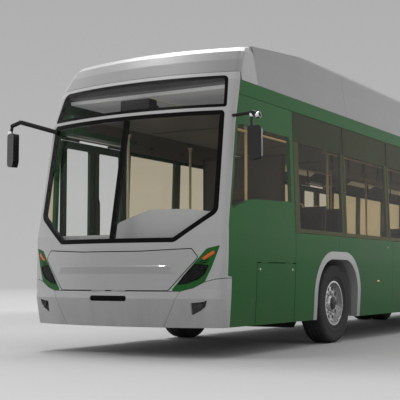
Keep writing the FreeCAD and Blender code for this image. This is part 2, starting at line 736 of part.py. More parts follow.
# cantrails: the rail over the glass band, with the window headers and doorway headers it carries
DOORWAYS = (("front", front_door_low, front_door_high),
            ("mid", mid_door_low, mid_door_high))
HEADER_FOOT = 2530
HEADER_SKIN = 20
rail_top = dim["band_top"] + 1


def cantrail(label, headers):
    """One side's cantrail with its headers under it."""
    top = side_wall(label + "_top", dim["band_top"], dim["gutter"], 0, 60, nose_y(600), body_end)
    return cut(label, fuse(label + "_whole", top, *headers), front_arch)


driver_headers = rails("driver_header", dim["window_high"], rail_top, driver_run)
door_headers = rails("door_header", dim["window_high"], rail_top, DOOR_FRAMES)
door_headers += [side_wall(name + "_doorway_header", HEADER_FOOT, rail_top, 0, HEADER_SKIN,
                           low + seam, high - seam) for name, low, high in DOORWAYS]
node("cantrails", group("cantrails_all", cantrail("driver_cantrail", driver_headers),
                        mirrored("door_cantrail_twin", cantrail("door_cantrail", door_headers))))
gear_drawn = [side_wall(name + "_gear_box", 2548, 2780, HEADER_SKIN + gap, 215, low + 14, high - 14)
              for name, low, high in DOORWAYS]


# ---- roof ---------------------------------------------------------------------------------------

roof_half = skin(dim["roof_low"] + dim["roof_plate"]) - 60 - gap
node("roof_panel", box("roof_panel_box", -roof_half, roof_half, nose_plane, tail_y(300),
                       dim["roof_low"], dim["roof_low"] + dim["roof_plate"]))

# fairing bays: start and end along the roof
fairing_start = nose_y(1150)
fairing_bay = (tail_y(498) - fairing_start) * 0.22334
FAIRING_SEAMS = [fairing_start + fairing_bay * number for number in range(5)] + [tail_y(498)]
FAIRING = widened([(1226, dim["gutter"] + gap), (1170, 3320), (1140, 3565, 60), (1085, 3632, 60),
                   (760, 3632), (720, 3570)])
fairing_top = prism("fairing_top", "YZ", [(nose_y(1140), 2900), (tail_y(200), 2900),
                                          (tail_y(200), dim["roof_top"]),
                                          (nose_y(4200), dim["roof_top"] - 3), (nose_y(2530), 3575),
                                          (nose_y(1140), 3438)], -half, half)
tail_cap = cut("tail_cap", end_solid("tail_cap_outer", TAIL_CAP, 1, 5900, 0),
               box("tail_cap_front", -1400, 1400, tail_y(800), tail_y(496), 2900, 3700))
bays = []
fairing_corners = both_sides(FAIRING)
for number, (start, end) in enumerate(zip(FAIRING_SEAMS, FAIRING_SEAMS[1:]), start=1):
    bay = prism("fairing_bay_%d" % number, "XZ", fairing_corners, start + seam / 2, end - seam / 2)
    bays.append(common("fairing_%d" % number, bay, fairing_top))
node("roof_fairings", group("roof_fairings_all", roof_cap, tail_cap, *bays))

# inside: flat ceiling, and sloping ducts that narrow over the doorways
duct_top = dim["ceiling"] + 80
DUCT_FOOT = 2500
ceiling_half = half - 429
duct_wide = [(ceiling_half, dim["ceiling"]), (half - 125, DUCT_FOOT), (skin(DUCT_FOOT) - panel - gap, DUCT_FOOT),
             (skin(duct_top) - panel - gap, duct_top), (ceiling_half, duct_top)]
duct_narrow = [(ceiling_half, dim["ceiling"]), (half - 285, 2606), (half - 285, duct_top),
               (ceiling_half, duct_top)]
# side (1 the driver's), section, start, end
DUCTS = (
    (1, duct_wide, cab_end, body_end), (-1, duct_narrow, nose_y(900), front_door_high),
    (-1, duct_wide, front_door_high + seam, mid_door_low - seam),
    (-1, duct_narrow, mid_door_low, mid_door_high),
    (-1, duct_wide, mid_door_high + seam, body_end),
)
ducts = [box("ceiling_flat", -ceiling_half + gap, ceiling_half - gap, nose_y(900), tail_y(170), dim["ceiling"],
             dim["ceiling"] + 20)]
for number, (hand, section, start, end) in enumerate(DUCTS, start=1):
    run = prism("duct_%d" % number, "XZ", section, start, end)
    ducts.append(run if hand > 0 else mirrored("duct_%d_twin" % number, run))
node("ceiling", group("ceiling_all", *ducts))


# ---- tail ---------------------------------------------------------------------------------------

TAIL_BACK = 6250
tail = end_solid("tail_outer", TAIL, 1, TAIL_BACK, 0)
tail_shell = cut("tail_shell", tail, end_solid("tail_inner", TAIL, 1, TAIL_BACK, panel.value))
tail_glass = cut("tail_glass", tail, end_solid("tail_glass_back", TAIL, 1, TAIL_BACK, pane.value))
tail_start = tail_y(360)


def seen_from_rear(label, corners):
    """A cutter with an outline seen square on from behind."""
    return prism(label, "XZ", corners, tail_start, rear + 100)


REAR_WINDOW = widened([(1050, 1720, 70), (1020, 2500, 70)])
ENGINE_LID = widened([(860, 800, 40), (860, 1500, 40)])
LAMP_STACK = widened([(960, 860, 20), (1150, 860, 20), (1150, 1480, 30), (960, 1480, 30)])
rear_window_hole = seen_from_rear("rear_window_hole", both_sides(REAR_WINDOW))
lid_hole = seen_from_rear("lid_hole", inset_outline(both_sides(ENGINE_LID), -dim["lid_gap"].value))
stack_hole = pair("stack_holes", seen_from_rear("stack_hole", LAMP_STACK))
bumper_box = box("rear_bumper_zone", -1400, 1400, tail_start, rear + 50, 200, 690)
bumper_box_grown = box("rear_bumper_clear", -1400, 1400, tail_start, rear + 50, 200, 694)
lid_fixed, lid_moving = hinge("lid_hinge", "X", (-150, 150), 0, tail_y(12).value, 1505, (0, -8, 10), (0, -8, -10))
node("rear_mask", fuse("rear_mask_all", cut("rear_mask_cut", tail_shell, rear_window_hole, lid_hole,
                       stack_hole, bumper_box_grown), *lid_fixed))
node("bumpers", group("bumpers_all", front_bumper, common("rear_bumper_cut", tail_shell, bumper_box)))
node("side_and_rear_glass", group("side_and_rear_glass_all", side_panes, common("rear_window_cut",
     tail_glass, seen_from_rear("rear_pane", inset_outline(both_sides(REAR_WINDOW), 0.5)))))
lid_shell = cut("lid_shell", tail, end_solid("lid_back", TAIL, 1, TAIL_BACK, 18))
LOUVRE_PITCH = 60
louvres = [box("louvre_%d" % number, -600, 600, tail_y(80), rear + 20, 930 + LOUVRE_PITCH * number,
               956 + LOUVRE_PITCH * number) for number in range(8)]
lid_plain = common("engine_lid_cut", lid_shell, seen_from_rear("lid_shape", both_sides(ENGINE_LID)))
node("engine_lid", fuse("engine_lid_all", cut("engine_lid_slots", lid_plain, *louvres), *lid_moving))
node("tail_lamps", pair("tail_lamps_pair", common("tail_lamp", tail_shell,
                        seen_from_rear("stack_shape", inset_outline(LAMP_STACK, 0.5)))))


# ---- floor, housings and steps --------------------------------------------------------------------

floor_half = skin(skirt_low) - panel - gap
rear_half = skin(dim["rear_floor_top"] - dim["floor_thick"]) - panel - gap
house_half = half - dim["housing_inset"]
house_reach = dim["arch_half"] + dim["housing_wall"] + 8 + gap
f_low, f_high = front_axle - house_reach, front_axle + house_reach
r_low, r_high = rear_axle - house_reach, rear_axle + house_reach
step = rear_axle - dim["step_ahead"]
deck_low = dim["rear_floor_top"] - dim["floor_thick"]
bay_start = rear - dim["engine_bay_length"]
# slabs: x half width, start, end, low, high
SLABS = (
    (floor_half, nose_y(540), f_low, floor_low, floor_top),
    (house_half - gap, f_low + seam, f_high - seam, floor_low, floor_top),
    (floor_half, f_high, step, floor_low, floor_top),
)
REAR_SLABS = (
    (rear_half, step + 28 + gap, r_low, deck_low, dim["rear_floor_top"]),
    (house_half - gap, r_low + seam, r_high - seam, deck_low, dim["rear_floor_top"]),
    (rear_half, r_high, bay_start, deck_low, dim["rear_floor_top"]),
    (half - 125, bay_start + 30 + gap, tail_y(220), dim["engine_deck"] - 50, dim["engine_deck"]),
)


def slabs(label, rows):
    """Flat floor plates."""
    return [box("%s_%d" % (label, number), -wide_x, wide_x, start, end, low, high)
            for number, (wide_x, start, end, low, high) in enumerate(rows, start=1)]


podium = box("driver_podium", 20, half - 95, nose_y(665), nose_y(1900), floor_top + gap, 700)
node("floor", group("floor_all", *slabs("floor_slab", SLABS), *slabs("rear_slab", REAR_SLABS), podium,
     box("riser_1", -floor_half, floor_half, step + gap, step + 28, floor_low, dim["rear_floor_top"]),
     box("riser_2", -floor_half, floor_half, bay_start + gap, bay_start + 30, deck_low,
         dim["engine_deck"]),
     box("step_block", -430, 430, step - 300, step, floor_top + gap, floor_top + 220)))


def housing(label, centre):
    """One wheel housing: an arch-shaped tunnel closed on its inner side."""
    wall = dim["housing_wall"]
    outer_arch = arch(centre, dim["arch_half"] + wall + 8, arch_top + wall + 8, skirt_low,
                      dim["arch_round"] + wall + 8)
    inner_arch = arch(centre, dim["arch_half"] + 8, arch_top + 8, skirt_low - 50,
                      dim["arch_round"] + 8)
    shape = prism(label + "_out", "YZ", outer_arch, house_half, half - 122)
    hollow = prism(label + "_in", "YZ", inner_arch, house_half + wall, half)
    axle_way = box(label + "_axle_way", house_half - 20, house_half + wall + 20, centre - 100, centre + 100,
                   skirt_low - 20, dim["tyre_radius"] + 100)
    return cut(label, shape, hollow, axle_way)


node("wheel_housings", group("wheel_housings_all",
     pair("front_housings", housing("front_housing", front_axle)),
     pair("rear_housings", housing("rear_housing", rear_axle))))


# ---- chassis --------------------------------------------------------------------------------------

axle_height = dim["tyre_radius"]
track = half - dim["track_inset"]
twin = track - dim["twin_spacing"]
kingpin = half - dim["kingpin_inset"]
RAIL_LOW = 255
RAILS = ((nose_y(1600), front_axle - 90), (front_axle + 300, step - 20))
rails_made = [box("rail_%d" % number, 380, 470, start, end, RAIL_LOW, floor_low)
              for number, (start, end) in enumerate(RAILS, start=1)]
rails_made.append(box("rail_3", 380, 470, step + 40, tail_y(250), deck_low - 120, deck_low))
CROSSES = (nose_y(1620), nose_y(2400), front_axle + 595, front_axle + 2795, step - 950)
crosses = [box("cross_%d" % number, -380 + 0.4, 380 - 0.4, along, along + 80, RAIL_LOW + 10, floor_low)
           for number, along in enumerate(CROSSES, start=1)]
node("chassis_rails", group("chassis_rails_all", pair("rails_pair", group("rails_drawn", *rails_made)),
                            *crosses))

boss_half = 90
beam_end = kingpin - 38
beam_shape = [(-beam_end, 430), (-710, 400), (-590, 180), (590, 180), (710, 400), (beam_end, 430),
              (beam_end, 590), (760, 590), (670, 520), (560, 290), (-560, 290), (-670, 520),
              (-760, 590), (-beam_end, 590)]
beam_bar = prism("beam_bar", "XZ", beam_shape, front_axle - 50, front_axle + 50)
bosses = [rod("boss_%s" % word, "Z", 44, 2 * boss_half, sign * kingpin, front_axle,
              axle_height - boss_half) for word, sign in (("driver", 1), ("door", -1))]
air_springs = [rod("air_spring_%s" % word, "Z", 46, floor_low - gap - 285, sign * 425, front_axle, 285)
               for word, sign in (("driver", 1), ("door", -1))]
pin_bores = [rod("pin_bore_%s" % word, "Z", dim["kingpin_radius"] + 0.3, 400, sign * kingpin,
                 front_axle, axle_height - 200) for word, sign in (("driver", 1), ("door", -1))]
beam_blank = fuse("front_axle_fuse", beam_bar, *bosses, *air_springs)
node("front_axle_beam", cut("front_axle_cut", beam_blank, *pin_bores))

# rear axle: a tube through the hubs with the final drive in its middle
tube = rod("axle_tube", "X", 85, 1080, -540, rear_axle, axle_height)
final_drive = rod("final_drive", "X", 215, 330, -165, rear_axle, axle_height)
spindle = rod("axle_spindle", "X", 60, 2 * (track - 60), -track + 60,
              rear_axle, axle_height)
spring_seats = [box("spring_seat_%s" % word, low, low + 80, rear_axle - 60, rear_axle + 60, 415,
                    deck_low - 120 - gap) for word, low in (("driver", 385), ("door", -465))]
node("rear_axle", fuse("rear_axle_fuse", tube, final_drive, spindle, *spring_seats))

node("engine_block", box("engine_block_box", -380 + gap, 380 - gap, bay_start + 80, tail_y(310), 480,
                         1150))
node("battery_block", group("battery_block_all",
     box("battery_box", 520, half - 135, step + 40, step + 310, 350, deck_low),
     box("air_tank_box", -half + 135, -520, step + 40, step + 310, 400, deck_low)))


# ---- wheels, knuckles and steering -----------------------------------------------------------------

tyre_half = dim["tyre_width"] / 2
tyre_radius = dim["tyre_radius"]
rim_radius = dim["rim_radius"]


def tyre(label, across, along):
    """A tyre with rounded shoulders and a bead that sits on the rim."""
    section = [(-tyre_half + 30, rim_radius), (tyre_half - 30, rim_radius),
               (tyre_half, rim_radius + 60, 40), (tyre_half - 6, tyre_radius - 30, 30),
               (tyre_half - 38, tyre_radius, 40), (-tyre_half + 38, tyre_radius, 40),
               (-tyre_half + 6, tyre_radius - 30, 30), (-tyre_half, rim_radius + 60, 40)]
    return turned(label, section, across, along, axle_height)


def rim(label, across, along, dish, hub_bore):
    """A disc wheel: barrel with flanges, and a disc with hand holes at the dish offset."""
    edge = rim_radius - gap
    reach = tyre_half - 20
    root = min(abs(dish) - 40, 90)
    side = 1 if dish > 0 else -1
    depth = abs(dish)
    section = [(-side * reach, edge - 22), (-side * reach, edge), (side * reach, edge),
               (side * reach, edge - 22), (side * (root + 34), edge - 24), (side * (depth + 14), 208),
               (side * (depth + 14), hub_bore), (side * depth, hub_bore), (side * depth, 196),
               (side * root, edge - 24)]
    disc = turned(label + "_disc", section, across, along, axle_height)
    holes = []
    for number in range(10):
        angle = math.radians(36 * number)
        holes.append(rod("%s_hole_%d" % (label, number), "X", 29, 200, across + dish - 100,
                         along + 190 * math.cos(angle), axle_height + 190 * math.sin(angle)))
    return cut(label, disc, *holes)


SPINDLE = 45
for word, sign in (("left", 1), ("right", -1)):
    front_name = "front_%s" % word
    node(front_name + "_tyre", tyre(front_name + "_tyre_body", sign * track, front_axle))
    wheel_rim = rim(front_name + "_rim_drawn", track, front_axle, 60, 125)
    wheel_hub = turned(front_name + "_hub_drawn", [(-70, SPINDLE + 0.5), (110, SPINDLE + 0.5),
                       (110, 80), (85, 100), (59.6, 110), (59.6, 165), (40, 165), (40, 120),
                       (-70, 110)], track, front_axle, axle_height)
    both = group(front_name + "_rim_set", wheel_rim, wheel_hub)
    node(front_name + "_rim", both if sign > 0 else mirrored(front_name + "_rim_twin", both))
    rear_name = "rear_%s" % word
    node(rear_name + "_tyres", group(rear_name + "_tyre_pair",
         tyre(rear_name + "_outer_tyre", sign * track, rear_axle),
         tyre(rear_name + "_inner_tyre", sign * twin, rear_axle)))
    outer_rim = rim(rear_name + "_outer_rim", track, rear_axle, -151.3, 125)
    inner_rim = rim(rear_name + "_inner_rim", twin, rear_axle, 151.3, 125)
    rear_hub = turned(rear_name + "_hub", [(-200, 60.5), (-200, 165), (-180.4, 165), (-180.4, 120),
                      (-60, 112), (-20, 90), (-20, 60.5)], track, rear_axle, axle_height)
    rear_set = group(rear_name + "_rim_set", outer_rim, inner_rim, rear_hub)
    node(rear_name + "_rims", rear_set if sign > 0 else mirrored(rear_name + "_rim_twin", rear_set))

    # knuckle: two eyes on the kingpin, a web outboard of it, the spindle and the steering arm
    knuckle_parts = [
        box(word + "_web", kingpin + 50, kingpin + 90, front_axle - 60, front_axle + 60,
            axle_height - 150, axle_height + 150),
        box(word + "_upper_eye", kingpin - 35, kingpin + 60, front_axle - 35, front_axle + 35,
            axle_height + boss_half + 5, axle_height + 150),
        box(word + "_lower_eye", kingpin - 35, kingpin + 60, front_axle - 35, front_axle + 35,
            axle_height - 150, axle_height - boss_half - 5),
        rod(word + "_pin", "Z", dim["kingpin_radius"], 300, kingpin, front_axle, axle_height - 150),
        rod(word + "_spindle", "X", SPINDLE, track + 100 - kingpin - 80, kingpin + 80, front_axle,
            axle_height),
        box(word + "_arm_drop", kingpin - 35, kingpin + 10, front_axle - 35, front_axle + 35, 250,
            axle_height - 140),
        box(word + "_arm", kingpin - 20, kingpin + 20, front_axle + 30, front_axle + 250, 295, 325),
        rod(word + "_stud", "Z", 10, 42, kingpin, front_axle + 228, 254),
    ]
    knuckle = fuse(word + "_knuckle_drawn", *knuckle_parts)
    node(word + "_knuckle", knuckle if sign > 0 else mirrored(word + "_knuckle_twin", knuckle))

node("tie_rod", rod("tie_rod_bar", "X", 18, 2 * kingpin - 10 - gap - 14, -kingpin + 14,
                    front_axle + 228, 268))

wheel_tilt = 28
steering_centre = Vector(560, nose_y(1120).value, 1240)
tilt = FreeCAD.Rotation(Vector(1, 0, 0), -wheel_tilt)
steering_ring = doc.addObject("Part::Torus", "steering_ring")
steering_ring.Radius1 = 225
steering_ring.Radius2 = 15
steering_spokes = doc.addObject("Part::Box", "steering_spokes")
steering_spokes.Length, steering_spokes.Width, steering_spokes.Height = 440, 50, 14
steering_spokes.Placement.Base = Vector(-220, -25, -20)
steering_hub = doc.addObject("Part::Cylinder", "steering_hub")
steering_hub.Radius, steering_hub.Height = 50, 60
steering_hub.Placement.Base = Vector(0, 0, -50)
steering_all = fuse("steering_all", steering_ring, steering_spokes, steering_hub)
steering_all.Placement = FreeCAD.Placement(steering_centre, tilt)
node("steering_wheel", steering_all)
column = doc.addObject("Part::Cylinder", "column")
column.Radius, column.Height = 42, 520
column.Placement = FreeCAD.Placement(steering_centre + tilt.multVec(Vector(0, 0, -570.4)), tilt)
column_foot = box("column_foot", 500, 620, nose_y(790), nose_y(900), size(700) + gap, 770)


# ---- doors ------------------------------------------------------------------------------------------

door_bottom = dim["door_bottom"]
door_top = dim["door_top"]
door_plane = half - dim["door_inset"]
door_half = dim["door_thick"] / 2
ARM_LOW, ARM_HIGH = 2500, 2518
STILE = 92


def leaf(label, low, high, mid):
    """One glazed leaf, its frame round a tall pane, with a pivot pin on top at its middle."""
    frame = prism(label + "_frame", "YZ", [(low, door_bottom, 8), (high, door_bottom, 8),
                  (high, door_top, 8), (low, door_top, 8)], door_plane - door_half,
                  door_plane + door_half)
    light = prism(label + "_light", "YZ", [(low + STILE, door_bottom + 140, 30),
                  (high - STILE, door_bottom + 140, 30), (high - STILE, door_top - 90, 30),
                  (low + STILE, door_top - 90, 30)], door_plane - 100, door_plane + 100)
    pin = rod(label + "_pin", "Z", 9, ARM_HIGH - door_top + 2, door_plane, mid, door_top)
    glass_low, glass_high = low + STILE + gap, high - STILE - gap
    glass_pane = prism(label + "_pane", "YZ", [(glass_low, door_bottom + 140.4, 30),
                       (glass_high, door_bottom + 140.4, 30), (glass_high, door_top - 90.4, 30),
                       (glass_low, door_top - 90.4, 30)], door_plane - 4, door_plane + 4)
    return fuse(label + "_solid", cut(label + "_cut", frame, light), pin), glass_pane


def arm(label, pivot, mid):
    """A flat arm between its post and the leaf's pin, with an eye at each end."""
    low, high = (pivot, mid) if pivot.value < mid.value else (mid, pivot)
    bar = box(label + "_bar", door_plane - 18, door_plane + 18, low, high, ARM_LOW, ARM_HIGH)
    eyes = [rod("%s_eye_%d" % (label, n), "Z", 18, ARM_HIGH - ARM_LOW, door_plane, y, ARM_LOW)
            for n, y in enumerate((low, high), start=1)]
    bores = [rod(label + "_pin_bore", "Z", 9.4, 60, door_plane, mid, ARM_LOW - 20),
             rod(label + "_post_bore", "Z", 12.4, 60, door_plane, pivot, ARM_LOW - 20)]
    return cut(label, fuse(label + "_blank", bar, *eyes), *bores)


posts = []
for name, low, high in DOORWAYS:
    travel = (high - low) / 2 - dim["door_pivot"] - dim["door_meet"]
    ends = (("a", low + dim["door_pivot"], 1), ("b", high - dim["door_pivot"], -1))
    for word, pivot, sign in ends:
        mid = pivot + sign * travel / 2
        outer_end = pivot - sign * dim["door_end"]
        inner_end = pivot + sign * travel
        span = (outer_end, inner_end) if sign > 0 else (inner_end, outer_end)
        title = "%s_door_%s" % (name, word)
        solid, glass_pane = leaf(title, *span, mid)
        node(title + "_leaf", mirrored(title + "_leaf_twin", solid))
        node(title + "_glass", mirrored(title + "_glass_twin", glass_pane))
        node(title + "_arm", mirrored(title + "_arm_twin", arm(title + "_arm_drawn", pivot, mid)))
        posts.append(rod(title + "_post", "Z", 12, 2548 - ARM_LOW, door_plane, pivot, ARM_LOW))
node("door_gear", mirrored("door_gear_all", group("door_gear_drawn",
     fuse("front_gear", gear_drawn[0], *posts[:2]), fuse("mid_gear", gear_drawn[1], *posts[2:]))))


# ---- cab and saloon ---------------------------------------------------------------------------------

dash = prism("dash", "XZ", [(-half + 215, 1040), (half - 195, 1040), (half - 195, 1530, 40), (820, 1565, 200),
             (330, 1572, 200), (-80, 1440, 80), (-130, 1310, 20), (-half + 215, 1310, 40)],
             nose_y(310), nose_y(760))
dash_fit = end_solid("dash_fit", NOSE, -1, 5700, panel.value + 35 + gap.value)
dash_step = box("dash_step", -half, -140, nose_y(635), nose_y(800), 1000, 1700)
node("dashboard", group("dashboard_all", cut("dash_cut", common("dash_full", dash, dash_fit), dash_step),
                        fuse("column_all", column, column_foot)))
node("driver_partition", box("partition", 60, half - 105, nose_y(1910), nose_y(1935), floor_top + gap, 2300))


LOW = dim["floor_top"].value
HIGH = dim["rear_floor_top"].value
PODIUM = 700
HOUSING = (arch_top + dim["housing_wall"] + 8 + gap - 380).value
DECK = (dim["engine_deck"] + gap - 380).value


def bench_seat(label, across, along, foot, facing):
    """A seat seen from the side: cushion and leaning back in one shell, on a foot where it has one."""
    side = [(400, 380), (400, 450), (110, 470), (30, 1050), (-30, 1050), (-10, 400), (150, 380)]
    if foot in (LOW, HIGH, PODIUM):
        side = [(260, gap.value), (260, 380)] + side + [(150, gap.value)]
    corners = [(along + facing * y, foot + z) for y, z in side]
    return prism(label, "YZ", corners, size(across) - dim["seat_width"] / 2,
                 size(across) + dim["seat_width"] / 2)


# passenger seats: across, along, height of the floor; on housings and deck the seat has no foot
wall_seat = (half - 335).value
aisle_seat = (half - 815).value
first_row = (front_axle + 1295).value
rear_row = (rear_axle + 1445).value
deck_row = tail_y(700).value
SEATS = [(wall_seat, first_row + 850 * row, LOW) for row in range(5)]
SEATS += [(aisle_seat, first_row + 850 * row, LOW) for row in range(4)]
SEATS += [(-wall_seat, first_row, LOW), (-wall_seat, first_row + 850, LOW)]
SEATS += [(across, rear_row, HIGH) for across in (wall_seat, aisle_seat, -aisle_seat, -wall_seat)]
SEATS += [(wall_seat - 60, front_axle.value - 20, HOUSING), (wall_seat - 60, front_axle.value + 510, HOUSING)]
SEATS += [(450 * place_number, deck_row, DECK) for place_number in range(-2, 3)]
seats = [bench_seat("seat_%d" % number, across, along, foot, -1)
         for number, (across, along, foot) in enumerate(SEATS, start=1)]
driver_seat = bench_seat("driver_seat", 560, nose_y(1810).value, PODIUM, -1)
node("seats", group("seats_all", *seats, driver_seat))

# poles: across, along, foot, top
housing_top = (arch_top + dim["housing_wall"] + 8).value
POLES = ((375 - half, nose_y(1650), LOW, 2652), (375 - half, front_axle - 155, housing_top, 2652),
         (715 - half, front_axle + 1545, LOW, 2700), (half - 575, front_axle + 945, LOW, 2700),
         (715 - half, mid_door_low - 140, LOW, 2700), (715 - half, mid_door_high + 180, LOW, 2700))
poles = [rod("pole_%d" % number, "Z", dim["pole_radius"], size(top) - foot - 2 * gap, across, along,
             size(foot) + gap) for number, (across, along, foot, top) in enumerate(POLES, start=1)]
node("grab_poles", group("grab_poles_all", *poles))

# mirrors on their bent arms: driver's side, then door side
def strut(label, start, end, radius):
    """A round bar between two points, with a ball at its far end."""
    item = doc.addObject("Part::Cylinder", label)
    item.Radius = radius
    item.Height = (end - start).Length
    item.Placement = FreeCAD.Placement(start, FreeCAD.Rotation(Vector(0, 0, 1), end - start))
    ball = doc.addObject("Part::Sphere", label + "_ball")
    ball.Radius = radius
    ball.Placement.Base = end
    return [item, ball]


def mirror_set(label, path, head_at, low, high, turn):
    """A slim mirror head, turned towards the driver, under a bent arm of round bars."""
    head = prism(label + "_head", "XZ", [(-75, low + 70, 25), (-40, low, 25), (75, low + 20, 45),
                 (75, high, 35), (-75, high, 35)], -38, 38)
    head.Placement = FreeCAD.Placement(head_at, FreeCAD.Rotation(Vector(0, 0, 1), turn))
    bars = []
    for number, (start, end, radius) in enumerate(path, start=1):
        bars += strut("%s_bar_%d" % (label, number), start, end, radius)
    return fuse(label, head, *bars)


def by_the_nose(outwards, set_back, height):
    """A point beside the nose: outwards from the body side, behind the front, at a height."""
    return Vector((half + outwards).value, nose_y(set_back).value, height)


arm_root = by_the_nose(-155, 540, 2550)
driver_elbow = by_the_nose(150, 620, 2585)
driver_path = ((arm_root, driver_elbow, 17), (driver_elbow, by_the_nose(150, 620, 2400), 14),
               (driver_elbow, by_the_nose(225, 625, 2552), 30))
door_bend = by_the_nose(170, 230, 2662)
door_elbow = by_the_nose(290, 218, 2625)
door_path = ((arm_root, door_bend, 28), (door_bend, door_elbow, 25),
             (door_elbow, by_the_nose(316, 215, 2490), 19))
nose_clear = end_solid("nose_clear", NOSE, -1, NOSE_BACK, -gap.value)
driver_mirror = mirror_set("driver_mirror", driver_path, by_the_nose(190, 620, 0), 2075, 2440, 15)
door_mirror = mirror_set("door_mirror", door_path, by_the_nose(275, 220, 0), 2125, 2530, 20)
node("mirrors", group("mirrors_all", cut("driver_mirror_cut", driver_mirror, nose_clear),
                      mirrored("door_mirror_twin", cut("door_mirror_cut", door_mirror, nose_clear))))


# ---- check and write --------------------------------------------------------------------------------

doc.recompute()
failed = [item.Name for item in doc.Objects if {"Invalid", "Error"} & set(item.State)]
if failed:
    raise RuntimeError("failed objects: %s" % ", ".join(failed))
for name, item in NODES.items():
    if item.Shape.isNull() or not item.Shape.isValid() or not item.Shape.Solids:
        raise RuntimeError("bad shape: %s" % name)
os.makedirs("parts", exist_ok=True)
for name, item in NODES.items():
    item.Shape.exportStep("parts/%s.step" % name)
    print("%-24s %3d solids  %10.3f litres" % (name, len(item.Shape.Solids), item.Shape.Volume / 1e6))
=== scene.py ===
import math

import bmesh
import bpy
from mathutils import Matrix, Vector


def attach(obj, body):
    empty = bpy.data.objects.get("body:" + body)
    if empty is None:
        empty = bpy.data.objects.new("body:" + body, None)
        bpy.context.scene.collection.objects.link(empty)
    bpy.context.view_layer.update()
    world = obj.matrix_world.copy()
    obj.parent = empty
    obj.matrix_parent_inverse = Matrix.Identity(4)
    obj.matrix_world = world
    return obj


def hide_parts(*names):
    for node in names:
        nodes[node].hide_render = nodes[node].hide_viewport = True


# ---- The bus ----
# A low-floor city bus on two axles, thirteen metres long. It is a welded frame with steel and
# glass-fibre panels, bonded side glass and doors on one side only. Its front faces -Y and the
# driver sits on the +X side. All sizes are metres.

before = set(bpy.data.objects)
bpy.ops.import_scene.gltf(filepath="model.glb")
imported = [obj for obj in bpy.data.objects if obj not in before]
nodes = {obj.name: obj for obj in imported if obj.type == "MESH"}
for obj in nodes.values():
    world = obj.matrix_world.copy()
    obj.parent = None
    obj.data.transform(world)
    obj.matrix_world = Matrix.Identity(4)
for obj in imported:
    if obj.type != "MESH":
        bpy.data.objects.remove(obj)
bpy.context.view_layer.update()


# ---- Camera ----
# A long lens held low by the front corner on the driver's side, and tilted up a little.

camera_data = bpy.data.cameras.new("camera")
camera_data.lens = 87.49
camera_data.sensor_width = 36.0
camera_data.clip_end = 900.0
camera = bpy.data.objects.new("camera", camera_data)
camera.location = (6.2207, -15.0015, 0.84936)
camera.rotation_euler = (math.radians(90 + 4.506), 0.0, math.radians(31.067))
bpy.context.scene.collection.objects.link(camera)
bpy.context.scene.camera = camera
bpy.context.scene.view_settings.view_transform = "Standard"


# ---- Studio ----
# A pale floor that fades into a grey backdrop, under a large overhead lamp. A smaller lamp
# high on the door side throws the soft shadow towards the driver's side, and a narrow one in
# front puts the streak on the bonnet.

def grey(tone):
    """A grey as red, green and blue."""
    return (tone, tone, tone)


class Wire:
    """One output of a shader node. Arithmetic on it adds Math nodes."""

    def __init__(self, finish, socket):
        self.finish = finish
        self.socket = socket

    def _math(self, operation, *values):
        return self.finish.node("ShaderNodeMath", {"operation": operation}, *values)

    def __add__(self, other):
        return self._math("ADD", self, other)

    __radd__ = __add__

    def __mul__(self, other):
        return self._math("MULTIPLY", self, other)

    __rmul__ = __mul__

    def __sub__(self, other):
        return self._math("SUBTRACT", self, other)

    def __rsub__(self, other):
        return self._math("SUBTRACT", other, self)

    def __pow__(self, other):
        return self._math("POWER", self, other)

    def ramp(self, low, high):
        """0 below low, 1 above high, and straight between."""
        return self.finish.node("ShaderNodeMapRange", {"clamp": True}, self, low, high, 0.0, 1.0)

    def sine(self):
        return self._math("SINE", self)

    def size(self):
        return self._math("ABSOLUTE", self)

    def larger(self, other):
        return self._math("MAXIMUM", self, other)


